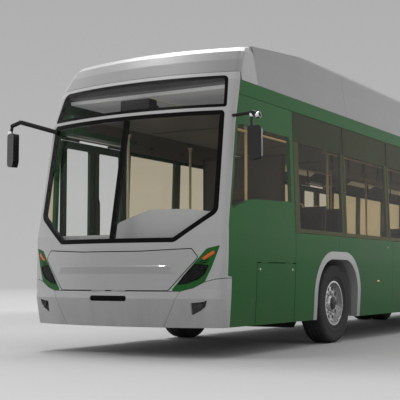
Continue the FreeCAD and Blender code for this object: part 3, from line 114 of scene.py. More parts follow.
class Finish:
    """A material: a Principled shader, and the nodes that vary it over the surface."""

    def __init__(self, name, colour=grey(0.5), roughness=0.5, **sockets):
        self.material = bpy.data.materials.new(name)
        self.material.use_nodes = True
        self.tree = self.material.node_tree
        self.shader = self.tree.nodes["Principled BSDF"]
        self.end = self.tree.nodes["Material Output"].inputs["Surface"]
        self.set("Base Color", colour)
        self.set("Roughness", roughness)
        for socket, value in sockets.items():
            self.set(socket.replace("_", " "), value)

    def plug(self, socket, value):
        """Put a number, a colour or another node's output into a socket."""
        if isinstance(value, Wire):
            self.tree.links.new(value.socket, socket)
        elif socket.type == "RGBA":
            socket.default_value = (*value, 1.0)
        else:
            socket.default_value = value

    def set(self, socket, value):
        self.plug(self.shader.inputs[socket], value)

    def node(self, kind, settings, *values, output=0):
        """Add a node: its settings first, then the values of its sockets in their order."""
        made = self.tree.nodes.new(kind)
        for name, value in settings.items():
            setattr(made, name, value)
        sockets = [socket for socket in made.inputs if socket.enabled]
        for socket, value in zip(sockets, values):
            if value is not None:
                self.plug(socket, value)
        return Wire(self, [socket for socket in made.outputs if socket.enabled][output])

    def place(self):
        """Coordinates in the bus's own frame, in metres."""
        return self.node("ShaderNodeTexCoord", {}, output=3)

    def axis(self, letter):
        """One of the coordinates X, Y and Z."""
        return self.node("ShaderNodeSeparateXYZ", {}, self.place(), output="XYZ".index(letter))

    def scaled(self, stretch):
        """Coordinates with each axis multiplied."""
        return self.node("ShaderNodeVectorMath", {"operation": "MULTIPLY"}, self.place(), stretch)

    def noise(self, scale, detail=3.0, roughness=0.5, stretch=(1.0, 1.0, 1.0)):
        """Cloudy noise, with spots about 1/scale metres wide."""
        return self.node("ShaderNodeTexNoise", {}, self.scaled(stretch), scale, detail, roughness)

    def mix(self, factor, first, second):
        """A blend of two colours."""
        return self.node("ShaderNodeMix", {"data_type": "RGBA"}, factor, first, second)

    def bump(self, height, depth):
        """Raise the surface by that depth in metres where the height is 1."""
        normal = self.node("ShaderNodeBump", {}, 1.0, depth, None, height)
        self.plug(self.shader.inputs["Normal"], normal)

    def wear(self, *names):
        """Give this finish to CAD nodes."""
        for name in names:
            nodes[name].data.materials.clear()
            nodes[name].data.materials.append(self.material)

    def cover(self, factor, shader):
        """Show another shader over this one, where the factor is 1."""
        under = self.end.links[0].from_socket
        made = self.node("ShaderNodeMixShader", {}, factor)
        self.tree.links.new(under, made.socket.node.inputs[1])
        self.tree.links.new(shader.socket, made.socket.node.inputs[2])
        self.tree.links.new(made.socket, self.end)


FLOOR_SIZE = 900.0
FLOOR_TONE = grey(0.325)
HAZE = grey(0.68)
HORIZON = grey(0.497)
OVERHEAD = grey(0.43)

bpy.ops.object.select_all(action="DESELECT")
bpy.ops.mesh.primitive_plane_add(size=FLOOR_SIZE)
studio_floor = bpy.context.object
studio_floor.name = "studio_floor"
paper = Finish("studio_paper", FLOOR_TONE, 0.95)
away = (paper.axis("X") ** 2.0 + paper.axis("Y") ** 2.0) ** 0.5
haze = paper.node("ShaderNodeEmission", {}, paper.mix(away.ramp(11.0, 61.0), HAZE, HORIZON), 1.0)
paper.cover(away.ramp(6.0, 11.0), haze)
studio_floor.data.materials.append(paper.material)

world = bpy.data.worlds.new("studio")
bpy.context.scene.world = world
world.use_nodes = True
sky = Finish("sky_maths")
sky.tree = world.node_tree
world_light = sky.tree.nodes["Background"]
rise = sky.node("ShaderNodeSeparateXYZ", {}, sky.node("ShaderNodeTexCoord", {}), output=2)
sky.plug(world_light.inputs["Color"], sky.mix(rise.ramp(0.1, 0.9), grey(1.26), grey(0.62)))
paths = sky.tree.nodes.new("ShaderNodeLightPath").outputs
straight = Wire(sky, paths["Is Camera Ray"]).larger(Wire(sky, paths["Is Transmission Ray"]))
backdrop = sky.node(
    "ShaderNodeBackground", {}, sky.mix(rise.ramp(0.0, 0.28), HORIZON, OVERHEAD), 1.0)
sky.end = sky.tree.nodes["World Output"].inputs["Surface"]
sky.cover(straight, backdrop)
bpy.data.materials.remove(sky.material)


def lamp(name, at, aim, width, height, power):
    """A soft rectangular lamp that faces a point."""
    data = bpy.data.lights.new(name, "AREA")
    data.shape = "RECTANGLE"
    data.size = width
    data.size_y = height
    data.energy = power
    item = bpy.data.objects.new(name, data)
    item.location = at
    item.rotation_euler = (Vector(aim) - Vector(at)).to_track_quat("-Z", "Y").to_euler()
    bpy.context.scene.collection.objects.link(item)


lamp("overhead_lamp", (0.0, -1.0, 12.0), (0.0, -1.0, 0.0), 12.0, 5.0, 780.0)
lamp("door_side_lamp", (-5.3, -3.2, 12.0), (0.0, -2.5, 1.0), 3.2, 1.2, 800.0)
lamp("streak_lamp", (-3.0, -10.6, 10.5), (0.5, -6.4, 0.95), 2.6, 0.7, 260.0)


# ---- Painted panels ----
# Steel and glass-fibre panels, sprayed green on the sides and tail and pale grey on the nose,
# bumpers, arch lips and roof, under clear lacquer. On the roof and the bonnet flap the grey is
# painted darker, as painted shade. Road film gathers low on the skirts.

GREEN = (0.009, 0.079, 0.014)
GREY = grey(0.288)
ROAD_FILM = (0.090, 0.095, 0.080)


def lacquered(name, colour, gloss):
    """Colour under clear lacquer, with a faint orange peel and road film near the ground."""
    finish = Finish(
        name, colour, 0.4, Coat_Weight=gloss, Coat_Roughness=0.06, Specular_IOR_Level=gloss)
    cloud = finish.noise(1.3, 4.0).ramp(0.3, 0.7)
    shade = finish.mix(cloud, [0.94 * c for c in colour], [1.06 * c for c in colour])
    low = 1.0 - finish.axis("Z").ramp(0.28, 0.95)
    streaks = finish.noise(5.0, 5.0, 0.6, (1.0, 1.0, 0.25)).ramp(0.35, 0.75)
    film = low * low * streaks * 0.4
    finish.set("Base Color", finish.mix(film, shade, ROAD_FILM))
    finish.set("Roughness", 0.34 + film * 0.5 + cloud * 0.06)
    finish.bump(finish.noise(220.0, 2.0), 0.00005)
    return finish


lacquered("green_lacquer", GREEN, 0.06).wear(
    "skirt_panels", "cab_sides", "service_hatch", "rear_mask", "engine_lid", "headlamps")

# the roof's side beams are painted outside, and dark where they stand behind the glass
beam_paint = lacquered("beam_lacquer", GREEN, 0.06)
outer_skin = beam_paint.axis("X").size() + (beam_paint.axis("Z") - 1.3) * 0.0279
skin = outer_skin.ramp(1.2705, 1.2715)
beam_paint.set("Base Color", beam_paint.mix(skin, (0.010, 0.036, 0.015), GREEN))
beam_paint.set("Roughness", 0.55 - skin * 0.17 + beam_paint.noise(9.0) * 0.06)
beam_paint.wear("cantrails")
grey_lacquer = lacquered("grey_lacquer", GREY, 0.3)
grey_lacquer.wear("front_mask", "bumpers", "arch_lips")
# the roof wears the nose's grey darkened to 62%: painted shade against the stronger light on its
# upward faces. Its lacquer is glossy only on the front cap.
roof_painted_shade_lacquer = lacquered("roof_painted_shade_lacquer", [0.62 * c for c in GREY], 0.3)
roof_painted_shade_lacquer.set("Coat Weight", 0.9 - roof_painted_shade_lacquer.axis("Y").ramp(-5.47, -5.44) * 0.85)
roof_painted_shade_lacquer.wear("roof_fairings")

# the bonnet flap and its fold wear the nose's grey darkened to 84%: painted shade, as the flap
# faces the lamps more and its glossy coat adds light.
flap_painted_shade = lacquered("bonnet_painted_shade_lacquer", [0.84 * c for c in GREY], 0.3)
flap_painted_shade.set("Coat Weight", 0.9)
flap_painted_shade.wear("bonnet_flap")


# ---- Glass ----
# Clear laminated glass in front and in the doors, and brown-tinted panes bonded along both
# sides and at the back, all set in black rubber or bonded flush.

def pane(name, tint):
    """Glass that tints what lies behind it, and mirrors more at a flat angle."""
    finish = Finish(name, tint, 0.03)
    film = finish.noise(3.0, 4.0, 0.6).ramp(0.4, 0.9)
    facing = finish.node("ShaderNodeFresnel", {}, 1.45)
    outside = 1.0 - finish.node("ShaderNodeNewGeometry", {}, output=6)
    clear = finish.node("ShaderNodeBsdfTransparent", {}, tint)
    mirror = finish.node("ShaderNodeBsdfGlossy", {}, (1.0, 1.0, 1.0), 0.015)
    finish.tree.links.new(clear.socket, finish.end)
    finish.cover((facing * 0.22 + film * 0.006) * outside, mirror)
    return finish


pane("clear_glass", (0.985, 0.99, 0.985)).wear(
    "front_glass", "front_door_a_glass", "front_door_b_glass", "mid_door_a_glass",
    "mid_door_b_glass")
pane("brown_glass", (0.877, 0.825, 0.707)).wear("side_and_rear_glass")


# ---- Moulded trim ----
# Black frames round the glass, dark green inner frames and door leaves, and the plain plastic
# of housings and mirrors: all moulded or powder-coated, with a fine grain.

def moulded(name, colour, roughness, grain=700.0, depth=0.0001, dust=0.25, gloss=0.2):
    """Plastic or rubber with a fine grain and a little grey dust."""
    finish = Finish(name, colour, roughness, Specular_IOR_Level=gloss)
    dusty = finish.noise(7.0, 5.0, 0.6).ramp(0.45, 0.8) * dust
    finish.set("Base Color", finish.mix(dusty, colour, [0.6 * c + 0.04 for c in colour]))
    finish.set("Roughness", roughness + dusty * 0.3)
    finish.bump(finish.noise(grain, 2.0), depth)
    return finish


moulded("black_frame", grey(0.003), 0.3, dust=0.02, gloss=0.04).wear("front_glass_frames")
moulded("bulkhead_black", grey(0.012), 0.6).wear("front_bulkhead")
moulded("inner_green", (0.014, 0.050, 0.020), 0.4).wear("window_pillars", "window_sills")
moulded("door_green", (0.010, 0.034, 0.014), 0.4).wear(
    "front_door_a_leaf", "front_door_b_leaf", "mid_door_a_leaf", "mid_door_b_leaf")
moulded("gear_green", (0.016, 0.072, 0.024), 0.4).wear("door_gear")
moulded("arch_liner", grey(0.22), 0.6, 160.0, 0.0006).wear("wheel_housings")
mirror_black = Finish(
    "mirror_black", grey(0.006), 0.22, Coat_Weight=0.3, Coat_Roughness=0.04, Specular_IOR_Level=0.1)
mirror_black.bump(mirror_black.noise(300.0, 2.0), 0.00003)
mirror_black.wear("mirrors")


# ---- Lamps and grilles in the nose ----
# Behind each smoked lens stand three bright reflector bowls with their bulbs, in a black frame.
# The amber lamp is a moulded lens pressed into the housing, over two blanking slits.

def take_all():
    """Select all of the edited piece."""
    bpy.ops.mesh.select_all(action="SELECT")


def fresh(add, **settings):
    """Add a primitive with nothing else selected, and open it for editing."""
    if bpy.context.object and bpy.context.object.mode == "EDIT":
        bpy.ops.object.mode_set(mode="OBJECT")
    bpy.ops.object.select_all(action="DESELECT")
    add(**settings)
    bpy.ops.object.mode_set(mode="EDIT")
    bpy.ops.mesh.select_mode(type="VERT")
    take_all()
    return bpy.context.object


def pick_faces(test):
    """Select the faces of the edited piece whose middle and normal pass a test."""
    bpy.ops.mesh.select_mode(type="FACE")
    bpy.ops.mesh.select_all(action="DESELECT")
    piece = bpy.context.object
    mesh = bmesh.from_edit_mesh(piece.data)
    turn = piece.matrix_world
    for face in mesh.faces:
        facing = (turn.to_3x3() @ face.normal).normalized()
        face.select_set(bool(test(turn @ face.calc_center_median(), facing)))
    mesh.select_flush_mode()
    bmesh.update_edit_mesh(piece.data)


def drawn(points, fill=True):
    """Draw a line from point to point by extruding one vertex, and fill it."""
    fresh(bpy.ops.mesh.primitive_plane_add, size=0.1, location=points[0])
    bpy.ops.mesh.merge(type="CENTER")
    for last, point in zip(points, points[1:]):
        move = Vector(point) - Vector(last)
        bpy.ops.mesh.extrude_vertices_move(TRANSFORM_OT_translate={"value": move})
    if fill:
        take_all()
        bpy.ops.mesh.edge_face_add()
    return bpy.context.object


def pushed(move):
    """Extrude all of the edited piece by a vector."""
    take_all()
    bpy.ops.mesh.extrude_region_move(TRANSFORM_OT_translate={"value": move})


def spun(steps, centre, axis, merge, dupli=False):
    """Spin all of the edited piece once round a line, and merge what meets."""
    take_all()
    bpy.ops.mesh.spin(steps=steps, dupli=dupli, angle=math.tau, center=centre, axis=axis)
    take_all()
    bpy.ops.mesh.remove_doubles(threshold=merge)


def placed(piece):
    """Leave edit mode, with the piece's place in its mesh."""
    if bpy.context.object.mode == "EDIT":
        bpy.ops.object.mode_set(mode="OBJECT")
    bpy.ops.object.select_all(action="DESELECT")
    piece.select_set(True)
    bpy.context.view_layer.objects.active = piece
    bpy.ops.object.transform_apply(location=True, rotation=True, scale=True)
    return piece


def prism(points, move):
    """A solid: an outline filled and extruded by a vector."""
    piece = drawn(points)
    pushed(move)
    return placed(piece)


def applied(piece, kind, **settings):
    """Put a modifier on the active piece and apply it."""
    modifier = piece.modifiers.new("change", kind)
    for name, value in settings.items():
        setattr(modifier, name, value)
    bpy.ops.object.modifier_apply(modifier=modifier.name)


def rounded(piece, width, steps=3, angle=30.0):
    """Round the sharp edges of a piece."""
    placed(piece)
    applied(piece, "BEVEL", width=width, segments=steps, limit_method="ANGLE",
            angle_limit=math.radians(angle))
    return piece


def made(name, finish, slot, parts, body="body", bevel=0.0, steps=2, smooth=40.0):
    """Join parts into one named piece, round its edges, and give it its finish and body."""
    parts = [placed(part) for part in parts]
    for part in parts:
        part.select_set(True)
    piece = parts[0]
    bpy.context.view_layer.objects.active = piece
    if len(parts) > 1:
        bpy.ops.object.join()
    bpy.ops.object.mode_set(mode="EDIT")
    take_all()
    bpy.ops.mesh.normals_make_consistent(inside=False)
    bpy.ops.object.mode_set(mode="OBJECT")
    if bevel:
        rounded(piece, bevel, steps, 35.0)
    bpy.ops.object.shade_smooth_by_angle(angle=math.radians(smooth))
    piece.name = name
    piece.data.materials.clear()
    piece.data.materials.append(finish.material)
    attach(piece, body)
    return piece


# height, reach of the middle and radius of the face at each level of the nose
NOSE_LEVELS = (
    (0.32, 6.54, 3.0), (0.62, 6.60, 2.85), (0.72, 6.572, 3.0), (1.0, 6.56, 3.05),
    (1.16, 6.55, 3.05), (1.3, 6.52, 3.4), (2.62, 6.259, 3.7), (2.985, 6.12, 3.7))


def nose(x, z):
    """The distance of the nose's face from the bus's middle, at a place across and up."""
    for low, high in zip(NOSE_LEVELS, NOSE_LEVELS[1:]):
        if z <= high[0]:
            break
    share = (z - low[0]) / (high[0] - low[0])
    reach = low[1] + (high[1] - low[1]) * share
    radius = low[2] + (high[2] - low[2]) * share
    return reach - radius + (radius ** 2 - x ** 2) ** 0.5


def nose_plate(outline, inner, outer, pitch=0.05):
    """A plate cut to an outline seen from the front, and curved to the nose."""
    piece = drawn([(x, 0.0, z) for x, z in outline])
    left, right = min(x for x, z in outline), max(x for x, z in outline)
    for cut in range(int(left / pitch) - 1, int(right / pitch) + 2):
        take_all()
        if left < cut * pitch < right:
            bpy.ops.mesh.bisect(plane_co=(cut * pitch, 0.0, 0.0), plane_no=(1.0, 0.0, 0.0))
    pushed((0.0, 1.0, 0.0))
    placed(piece)
    for vertex in piece.data.vertices:
        depth = inner if vertex.co.y > 0.5 else outer
        vertex.co.y = depth - nose(vertex.co.x, vertex.co.z)
    return piece


def both_sides(outline):
    """An outline in the bus's left half, and the same one on its right."""
    return [outline, [(-x, z) for x, z in outline]]


def bowl(centre, aim, profile, steps=32):
    """A round piece spun from a profile of (distance out, radius) about a line."""
    aim = Vector(aim).normalized()
    across = aim.orthogonal().normalized()
    line = [Vector(centre) + aim * out + across * radius for out, radius in profile]
    piece = drawn(line, fill=False)
    spun(steps, centre, aim, 0.0002)
    return placed(piece)


smoked = pane("smoked_lens", (0.26, 0.26, 0.28))
smoked.wear("headlamp_lenses")
LENS = ((0.815, 0.772), (0.900, 0.782), (1.010, 0.822), (1.076, 0.880), (1.108, 0.962),
        (0.980, 0.976), (0.870, 0.862))
bezel_black = moulded("bezel_black", grey(0.004), 0.35, dust=0.03, gloss=0.05)
chrome = Finish("bright_chrome", (0.62, 0.62, 0.63), 0.08, Metallic=1.0)
chrome.set("Roughness", 0.06 + chrome.noise(9.0, 4.0) * 0.08)
# place across, height and radius of each reflector
BOWLS = ((0.905, 0.815, 0.030), (0.985, 0.872, 0.040), (1.045, 0.930, 0.034))


def in_reflectors(set_back, profile, steps=32):
    """A round piece in each reflector, from a profile that follows the reflector's radius."""
    return [
        bowl(
            (side * x, set_back - nose(x, z), z), (side * x / 3.0, -0.95, 0.0), profile(radius),
            steps)
        for side in (1, -1) for x, z, radius in BOWLS]


bowls = in_reflectors(0.034, lambda radius: [
    (0.0, 0.0), (0.001, 0.006), (0.006, radius * 0.7), (0.016, radius * 0.96), (0.020, radius),
    (0.018, radius + 0.003), (0.002, radius * 0.8), (-0.002, 0.0)])
made("headlamp_bowls", chrome, "steel", bowls, smooth=60.0)
lamp_white = Finish("lamp_white", (0.55, 0.56, 0.58), 0.12, Coat_Weight=1.0)
lamp_white.bump(lamp_white.axis("Z").sine() * 0.1 + lamp_white.noise(300.0), 0.0002)
bulbs = in_reflectors(0.033, lambda radius: [
    (0.0, 0.0), (0.0, 0.008), (0.009, 0.009), (0.016, 0.006), (0.018, 0.0)], 16)
made("headlamp_bulbs", lamp_white, "glass", bulbs, smooth=60.0)

# a black frame stands round the lens
rims = []
for outline in both_sides(LENS):
    middle_x = sum(x for x, z in outline) / len(outline)
    middle_z = sum(z for x, z in outline) / len(outline)
    piece = nose_plate([
        (middle_x + (x - middle_x) * 1.05, middle_z + (z - middle_z) * 1.07)
        for x, z in outline], 0.001, -0.005)
    bpy.ops.object.mode_set(mode="EDIT")
    pick_faces(lambda middle, facing: abs(facing.y) > 0.5)
    bpy.ops.mesh.inset(thickness=0.010)
    bpy.ops.mesh.bridge_edge_loops()
    rims.append(piece)
made("headlamp_frames", bezel_black, "black_trim", rims, bevel=0.0015)

AMBER = ((1.046, 1.041), (1.156, 1.121), (1.171, 1.090), (1.066, 1.020))
amber_lens = Finish(
    "amber_lens", (0.50, 0.085, 0.012), 0.3, Coat_Weight=0.1, Specular_IOR_Level=0.2)
fine_lines = (amber_lens.axis("Z") * 900.0).sine()
amber_lens.set("Base Color", amber_lens.mix(
    fine_lines.ramp(-1.0, 1.0), (0.62, 0.11, 0.010), (0.44, 0.060, 0.006)))
amber_lens.bump(fine_lines, 0.0006)
made("amber_lamps", amber_lens, "glass",
     [nose_plate(outline, 0.001, -0.004) for outline in both_sides(AMBER)], bevel=0.0018)
SLITS = (((0.998, 0.981), (1.038, 1.012), (1.125, 1.032), (1.103, 1.018), (1.046, 1.003)),
         ((1.010, 0.972), (1.052, 0.996), (1.112, 1.007), (1.096, 0.996), (1.058, 0.985)))
made("headlamp_slits", bezel_black, "black_trim",
     [nose_plate(outline, 0.001, -0.0015) for slit in SLITS for outline in both_sides(slit)])

# a dark cup stands in each fog lamp recess, and black slats close the air slot
FOG = (
    (0.942, 0.447), (1.036, 0.497), (1.088, 0.540), (1.107, 0.607), (1.060, 0.589), (0.942, 0.577))
cup_grey = moulded("cup_grey", (0.030, 0.030, 0.031), 0.5, 90.0, 0.0006)
cups = []
for side in (1, -1):
    at = (side * 1.025, 0.026 - nose(1.02, 0.555), 0.553)
    cups.append(bowl(at, (side * 0.33, -0.94, 0.0), [
        (-0.001, 0.0), (0.0, 0.026), (0.005, 0.028), (0.014, 0.036), (0.017, 0.034), (0.006, 0.022),
        (0.009, 0.010), (0.010, 0.0)]))
made("fog_lamps", cup_grey, "black_trim", cups, smooth=60.0)
backs = [nose_plate(outline, 0.0245, 0.0225) for outline in both_sides(FOG)]
made("fog_recess_backs", cup_grey, "black_trim", backs)
SLOT = [(-0.237, 0.591), (0.237, 0.591), (0.237, 0.647), (-0.237, 0.647)]
slats = [nose_plate(SLOT, 0.0175, 0.0135)]
for step in range(4):
    z = 0.596 + step * 0.0145
    slats.append(nose_plate([
        (-0.236, z), (0.236, z), (0.236, z + 0.006), (-0.236, z + 0.006)], 0.0135, 0.007, 0.12))
made("air_slot_slats", bezel_black, "black_trim", slats)


# ---- Bonnet fold ----
# The bonnet flap is pressed with a fold across it: a short sloping shoulder under the bare
# upper band, which fades out towards the lamps.

FOLD_ROWS = {1: (0.968, 0.0004), 0: (0.955, 0.0085), -1: (0.880, 0.0004)}  # height, how proud
FOLD_HALF = 0.80
FOLD_FADE = 0.12
fold = fresh(bpy.ops.mesh.primitive_grid_add, x_subdivisions=40, y_subdivisions=2, size=2.0)
pushed((0.0, 0.0, -1.0))
placed(fold)
for vertex in fold.data.vertices:
    along, (z, proud) = vertex.co.x, FOLD_ROWS[round(vertex.co.y)]
    fade = min(1.0, (1.0 - abs(along)) / FOLD_FADE)
    depth = 0.003 if vertex.co.z < -0.5 else -proud * fade
    vertex.co = (along * FOLD_HALF, depth - nose(along * FOLD_HALF, z), z)
made("bonnet_fold", flap_painted_shade, "grey_paint", [fold], "bonnet_flap", smooth=20.0)


# ---- Wheels ----
# Steel-belted tyres on silver disc wheels, single in front and twin behind. The tread is
# four grooves round the tyre with slots across its shoulders; ten nuts hold each disc.

WHEEL_HEIGHT = 0.51
FRONT_AXLE = -3.295
REAR_AXLE = 3.455
TRACK = 1.0635
TWIN_TRACK = 0.7325
HANDS = ((1, "left"), (-1, "right"))


def tyre_at(x, y):
    """A tyre: its section spun about the axle, with slots between the shoulder blocks."""
    section = [(0.286, 0.118), (0.292, 0.133), (0.305, 0.137), (0.318, 0.134), (0.323, 0.138),
               (0.352, 0.1445), (0.356, 0.1455), (0.360, 0.1445), (0.400, 0.1470), (0.440, 0.1445),
               (0.446, 0.1450), (0.452, 0.1435), (0.480, 0.136), (0.497, 0.128), (0.5055, 0.112)]
    for groove in (0.083, 0.029):
        section += [(0.5085, groove + 0.0075), (0.498, groove + 0.0045), (0.498, groove - 0.0045),
                    (0.5092, groove - 0.0075)]
    ring = section + [(radius, -out) for radius, out in reversed(section)]
    piece = drawn([Vector((x + out, y, WHEEL_HEIGHT + radius)) for radius, out in ring])
    take_all()
    bpy.ops.mesh.delete(type="ONLY_FACE")
    spun(120, (x, y, WHEEL_HEIGHT), (1.0, 0.0, 0.0), 0.0004)
    bpy.ops.mesh.normals_make_consistent(inside=False)

    def in_slot(middle, facing):
        along, up = middle.y - y, middle.z - WHEEL_HEIGHT
        every_other = int(math.degrees(math.atan2(up, along)) // 3.0) % 2 == 0
        on_shoulder = 0.105 < abs(middle.x - x) and abs(facing.x) < 0.93
        return every_other and on_shoulder and 0.486 < (along ** 2 + up ** 2) ** 0.5 < 0.5072

    pick_faces(in_slot)
    bpy.ops.mesh.extrude_region_shrink_fatten(TRANSFORM_OT_shrink_fatten={"value": -0.007})
    return piece


tread_black = moulded("tread_black", (0.022, 0.022, 0.023), 0.72, 260.0, 0.0004, 0.45)
for side, hand in HANDS:
    front = made(f"front_{hand}_tread", tread_black, "tyre", [tyre_at(side * TRACK, FRONT_AXLE)],
                 f"front_{hand}_wheel", smooth=35.0)
    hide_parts(f"front_{hand}_tyre")
    twins = made(f"rear_{hand}_treads", tread_black, "tyre",
                 [tyre_at(side * track, REAR_AXLE) for track in (TRACK, TWIN_TRACK)],
                 f"rear_{hand}_wheels", smooth=35.0)
    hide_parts(f"rear_{hand}_tyres")


def nuts_at(x, y, out, disc):
    """Ten wheel nuts round an axle, each with its collar and the stud's end."""
    nut = bowl((x + disc, y, WHEEL_HEIGHT + 0.140), (out, 0.0, 0.0), [
        (0.0, 0.0), (0.0, 0.021), (0.004, 0.021), (0.006, 0.0165), (0.024, 0.0165), (0.027, 0.013),
        (0.027, 0.010), (0.036, 0.009), (0.037, 0.0)], 6)
    bpy.ops.object.mode_set(mode="EDIT")
    spun(10, (x, y, WHEEL_HEIGHT), (1.0, 0.0, 0.0), 0.0002, dupli=True)
    return nut


rim_silver = Finish("rim_silver", (0.40, 0.40, 0.41), 0.3, Metallic=0.75)
brake_dust = rim_silver.noise(14.0, 5.0).ramp(0.45, 0.8) * 0.6
rim_silver.set("Base Color", rim_silver.mix(brake_dust, (0.50, 0.50, 0.51), (0.11, 0.10, 0.09)))
rim_silver.set("Roughness", 0.24 + brake_dust * 0.35)
rim_silver.bump(rim_silver.noise(350.0, 2.0), 0.0001)
rim_silver.wear(*[name for name in nodes if name.endswith(("_rim", "_rims"))])
nut_steel = Finish("nut_steel", (0.42, 0.42, 0.43), 0.3, Metallic=0.85)
nut_steel.set("Base Color", nut_steel.mix(
    nut_steel.noise(60.0, 4.0).ramp(0.5, 0.8), (0.48, 0.48, 0.49), (0.12, 0.10, 0.08)))
nut_steel.bump(nut_steel.noise(500.0), 0.0003)
hub_black = moulded("hub_black", grey(0.020), 0.45, 300.0, 0.0002)
for side, hand in HANDS:
    x = side * TRACK
    front, rear = f"front_{hand}", f"rear_{hand}"
    made(f"{front}_nuts", nut_steel, "steel", [nuts_at(x, FRONT_AXLE, side, side * 0.060)],
         f"{front}_wheel", smooth=30.0)
    cap = bowl((x + side * 0.108, FRONT_AXLE, WHEEL_HEIGHT), (side, 0.0, 0.0), [
        (0.0, 0.0), (0.0, 0.084), (0.003, 0.086), (0.006, 0.084), (0.008, 0.070), (0.014, 0.062),
        (0.017, 0.045), (0.0165, 0.014), (0.018, 0.011), (0.0185, 0.0)], 40)
    made(f"{front}_hub_cap", hub_black, "steel", [cap], f"{front}_wheel", bevel=0.0008)
    made(f"{rear}_nuts", nut_steel, "steel", [nuts_at(x, REAR_AXLE, side, -side * 0.060)],
         f"{rear}_wheels", smooth=30.0)
    valve = bowl((x + side * 0.062, FRONT_AXLE, WHEEL_HEIGHT + 0.258), (side, 0.0, -0.45), [
        (0.0, 0.0), (0.0, 0.0055), (0.022, 0.0045), (0.024, 0.0035), (0.040, 0.0035),
        (0.042, 0.0)], 8)
    made(f"{front}_valve", nut_steel, "steel", [valve], f"{front}_wheel")


# ---- Seats ----
# A passenger seat is a thin moulded shell with a padded cushion and back sewn in dark cloth,
# bolted by a boxed foot to the floor, or straight to a wheel housing or the rear deck. The
# driver's seat has brown cloth, a headrest and a ribbed base.

FLOOR = 0.37
REAR_FLOOR = 0.82
CAB_FLOOR = 0.70
HOUSING_TOP = 0.7214
DECK = 0.8504
WALL_SEAT = 0.94
AISLE_SEAT = 0.46

# place across, place along and height of the foot of each seat
SEATS = [(WALL_SEAT, y, FLOOR) for y in (-2.0, -1.15, -0.3, 0.55, 1.4)]
SEATS += [(AISLE_SEAT, y, FLOOR) for y in (-2.0, -1.15, -0.3, 0.55)]
SEATS += [(-WALL_SEAT, y, FLOOR) for y in (-2.0, -1.15)]
SEATS += [(x, 4.9, REAR_FLOOR) for x in (-WALL_SEAT, -AISLE_SEAT, AISLE_SEAT, WALL_SEAT)]
HIGH_SEATS = [(side * 0.88, y, HOUSING_TOP) for side in (1, -1) for y in (-3.315, -2.785)]
DECK_SEATS = [(x, 5.9, DECK) for x in (-0.9, -0.45, 0.0, 0.45, 0.9)]
CAB_SEAT = (0.56, -4.79, CAB_FLOOR)
SEAT_WIDTH = 0.42
MOST_SWELLING = 0.010


def tube(points, radius, sides=2, bent=False):
    """A round tube run through points, with closed ends."""
    bpy.ops.object.select_all(action="DESELECT")
    line = bpy.data.curves.new("tube", "CURVE")
    line.dimensions = "3D"
    run = line.splines.new("NURBS" if bent else "POLY")
    run.points.add(len(points) - 1)
    for knot, point in zip(run.points, points):
        knot.co = (*point, 1.0)
    run.order_u = 3
    run.use_endpoint_u = True
    run.resolution_u = 4
    line.bevel_depth = radius
    line.bevel_resolution = sides
    line.use_fill_caps = True
    piece = bpy.data.objects.new("tube", line)
    bpy.context.scene.collection.objects.link(piece)
    piece.select_set(True)
    bpy.context.view_layer.objects.active = piece
    bpy.ops.object.convert(target="MESH")
    return bpy.context.object


def twin_of(piece, move):
    """A copy of a piece with its own mesh, moved."""
    copy = piece.copy()
    copy.data = piece.data.copy()
    bpy.context.scene.collection.objects.link(copy)
    copy.location = move
    return placed(copy)


def section(profile, width):
    """A solid of one section in the YZ plane, as wide as given, middle at X = 0."""
    return prism([(-width / 2, y, z) for y, z in profile], (width, 0.0, 0.0))


def cushion(profile, width):
    """A crowned pad: a section swelled by a cloth simulation, then sewn with two channels."""
    piece = section(profile, width - 0.03)
    rounded(piece, 0.012, 2)
    applied(piece, "REMESH", mode="VOXEL", voxel_size=0.013)
    before = [vertex.co.copy() for vertex in piece.data.vertices]
    swell = piece.modifiers.new("swell", "CLOTH")
    swell.settings.use_pressure = True
    swell.settings.uniform_pressure_force = 4.0
    swell.settings.effector_weights.gravity = 0.0
    for frame_number in range(1, 21):
        bpy.context.scene.frame_set(frame_number)
    bpy.ops.object.modifier_apply(modifier="swell")
    bpy.context.scene.frame_set(1)
    for vertex, start in zip(piece.data.vertices, before):
        swelling = vertex.co - start
        if swelling.length > MOST_SWELLING:
            vertex.co = start + swelling.normalized() * MOST_SWELLING
        seam = min(abs(abs(vertex.co.x) - width * 0.27) / 0.012, 1.0)
        vertex.co.y += (start.y - vertex.co.y) * (1.0 - seam) * 1.3
        vertex.co.z += (start.z - vertex.co.z) * (1.0 - seam) * 1.3
    applied(piece, "SMOOTH", factor=0.5, iterations=4)
    return piece


THREAD_PITCH = 2600.0


def cloth(name, colour, fleck):
    """Woven seat cloth, with faint coloured flecks and a fine rib."""
    finish = Finish(name, colour, 0.9, Specular_IOR_Level=0.1)
    along = (finish.axis("Y") + finish.axis("Z")) * THREAD_PITCH
    threads = (finish.axis("X") * THREAD_PITCH).sine() * along.sine()
    spots = finish.noise(140.0, 3.0).ramp(0.56, 0.64)
    worn = finish.noise(9.0, 3.0).ramp(0.3, 0.8) * 0.25
    shade = finish.mix(worn, colour, [1.5 * c + 0.01 for c in colour])
    finish.set("Base Color", finish.mix(spots * 0.03, shade, fleck))
    finish.bump(threads, 0.000005)
    return finish


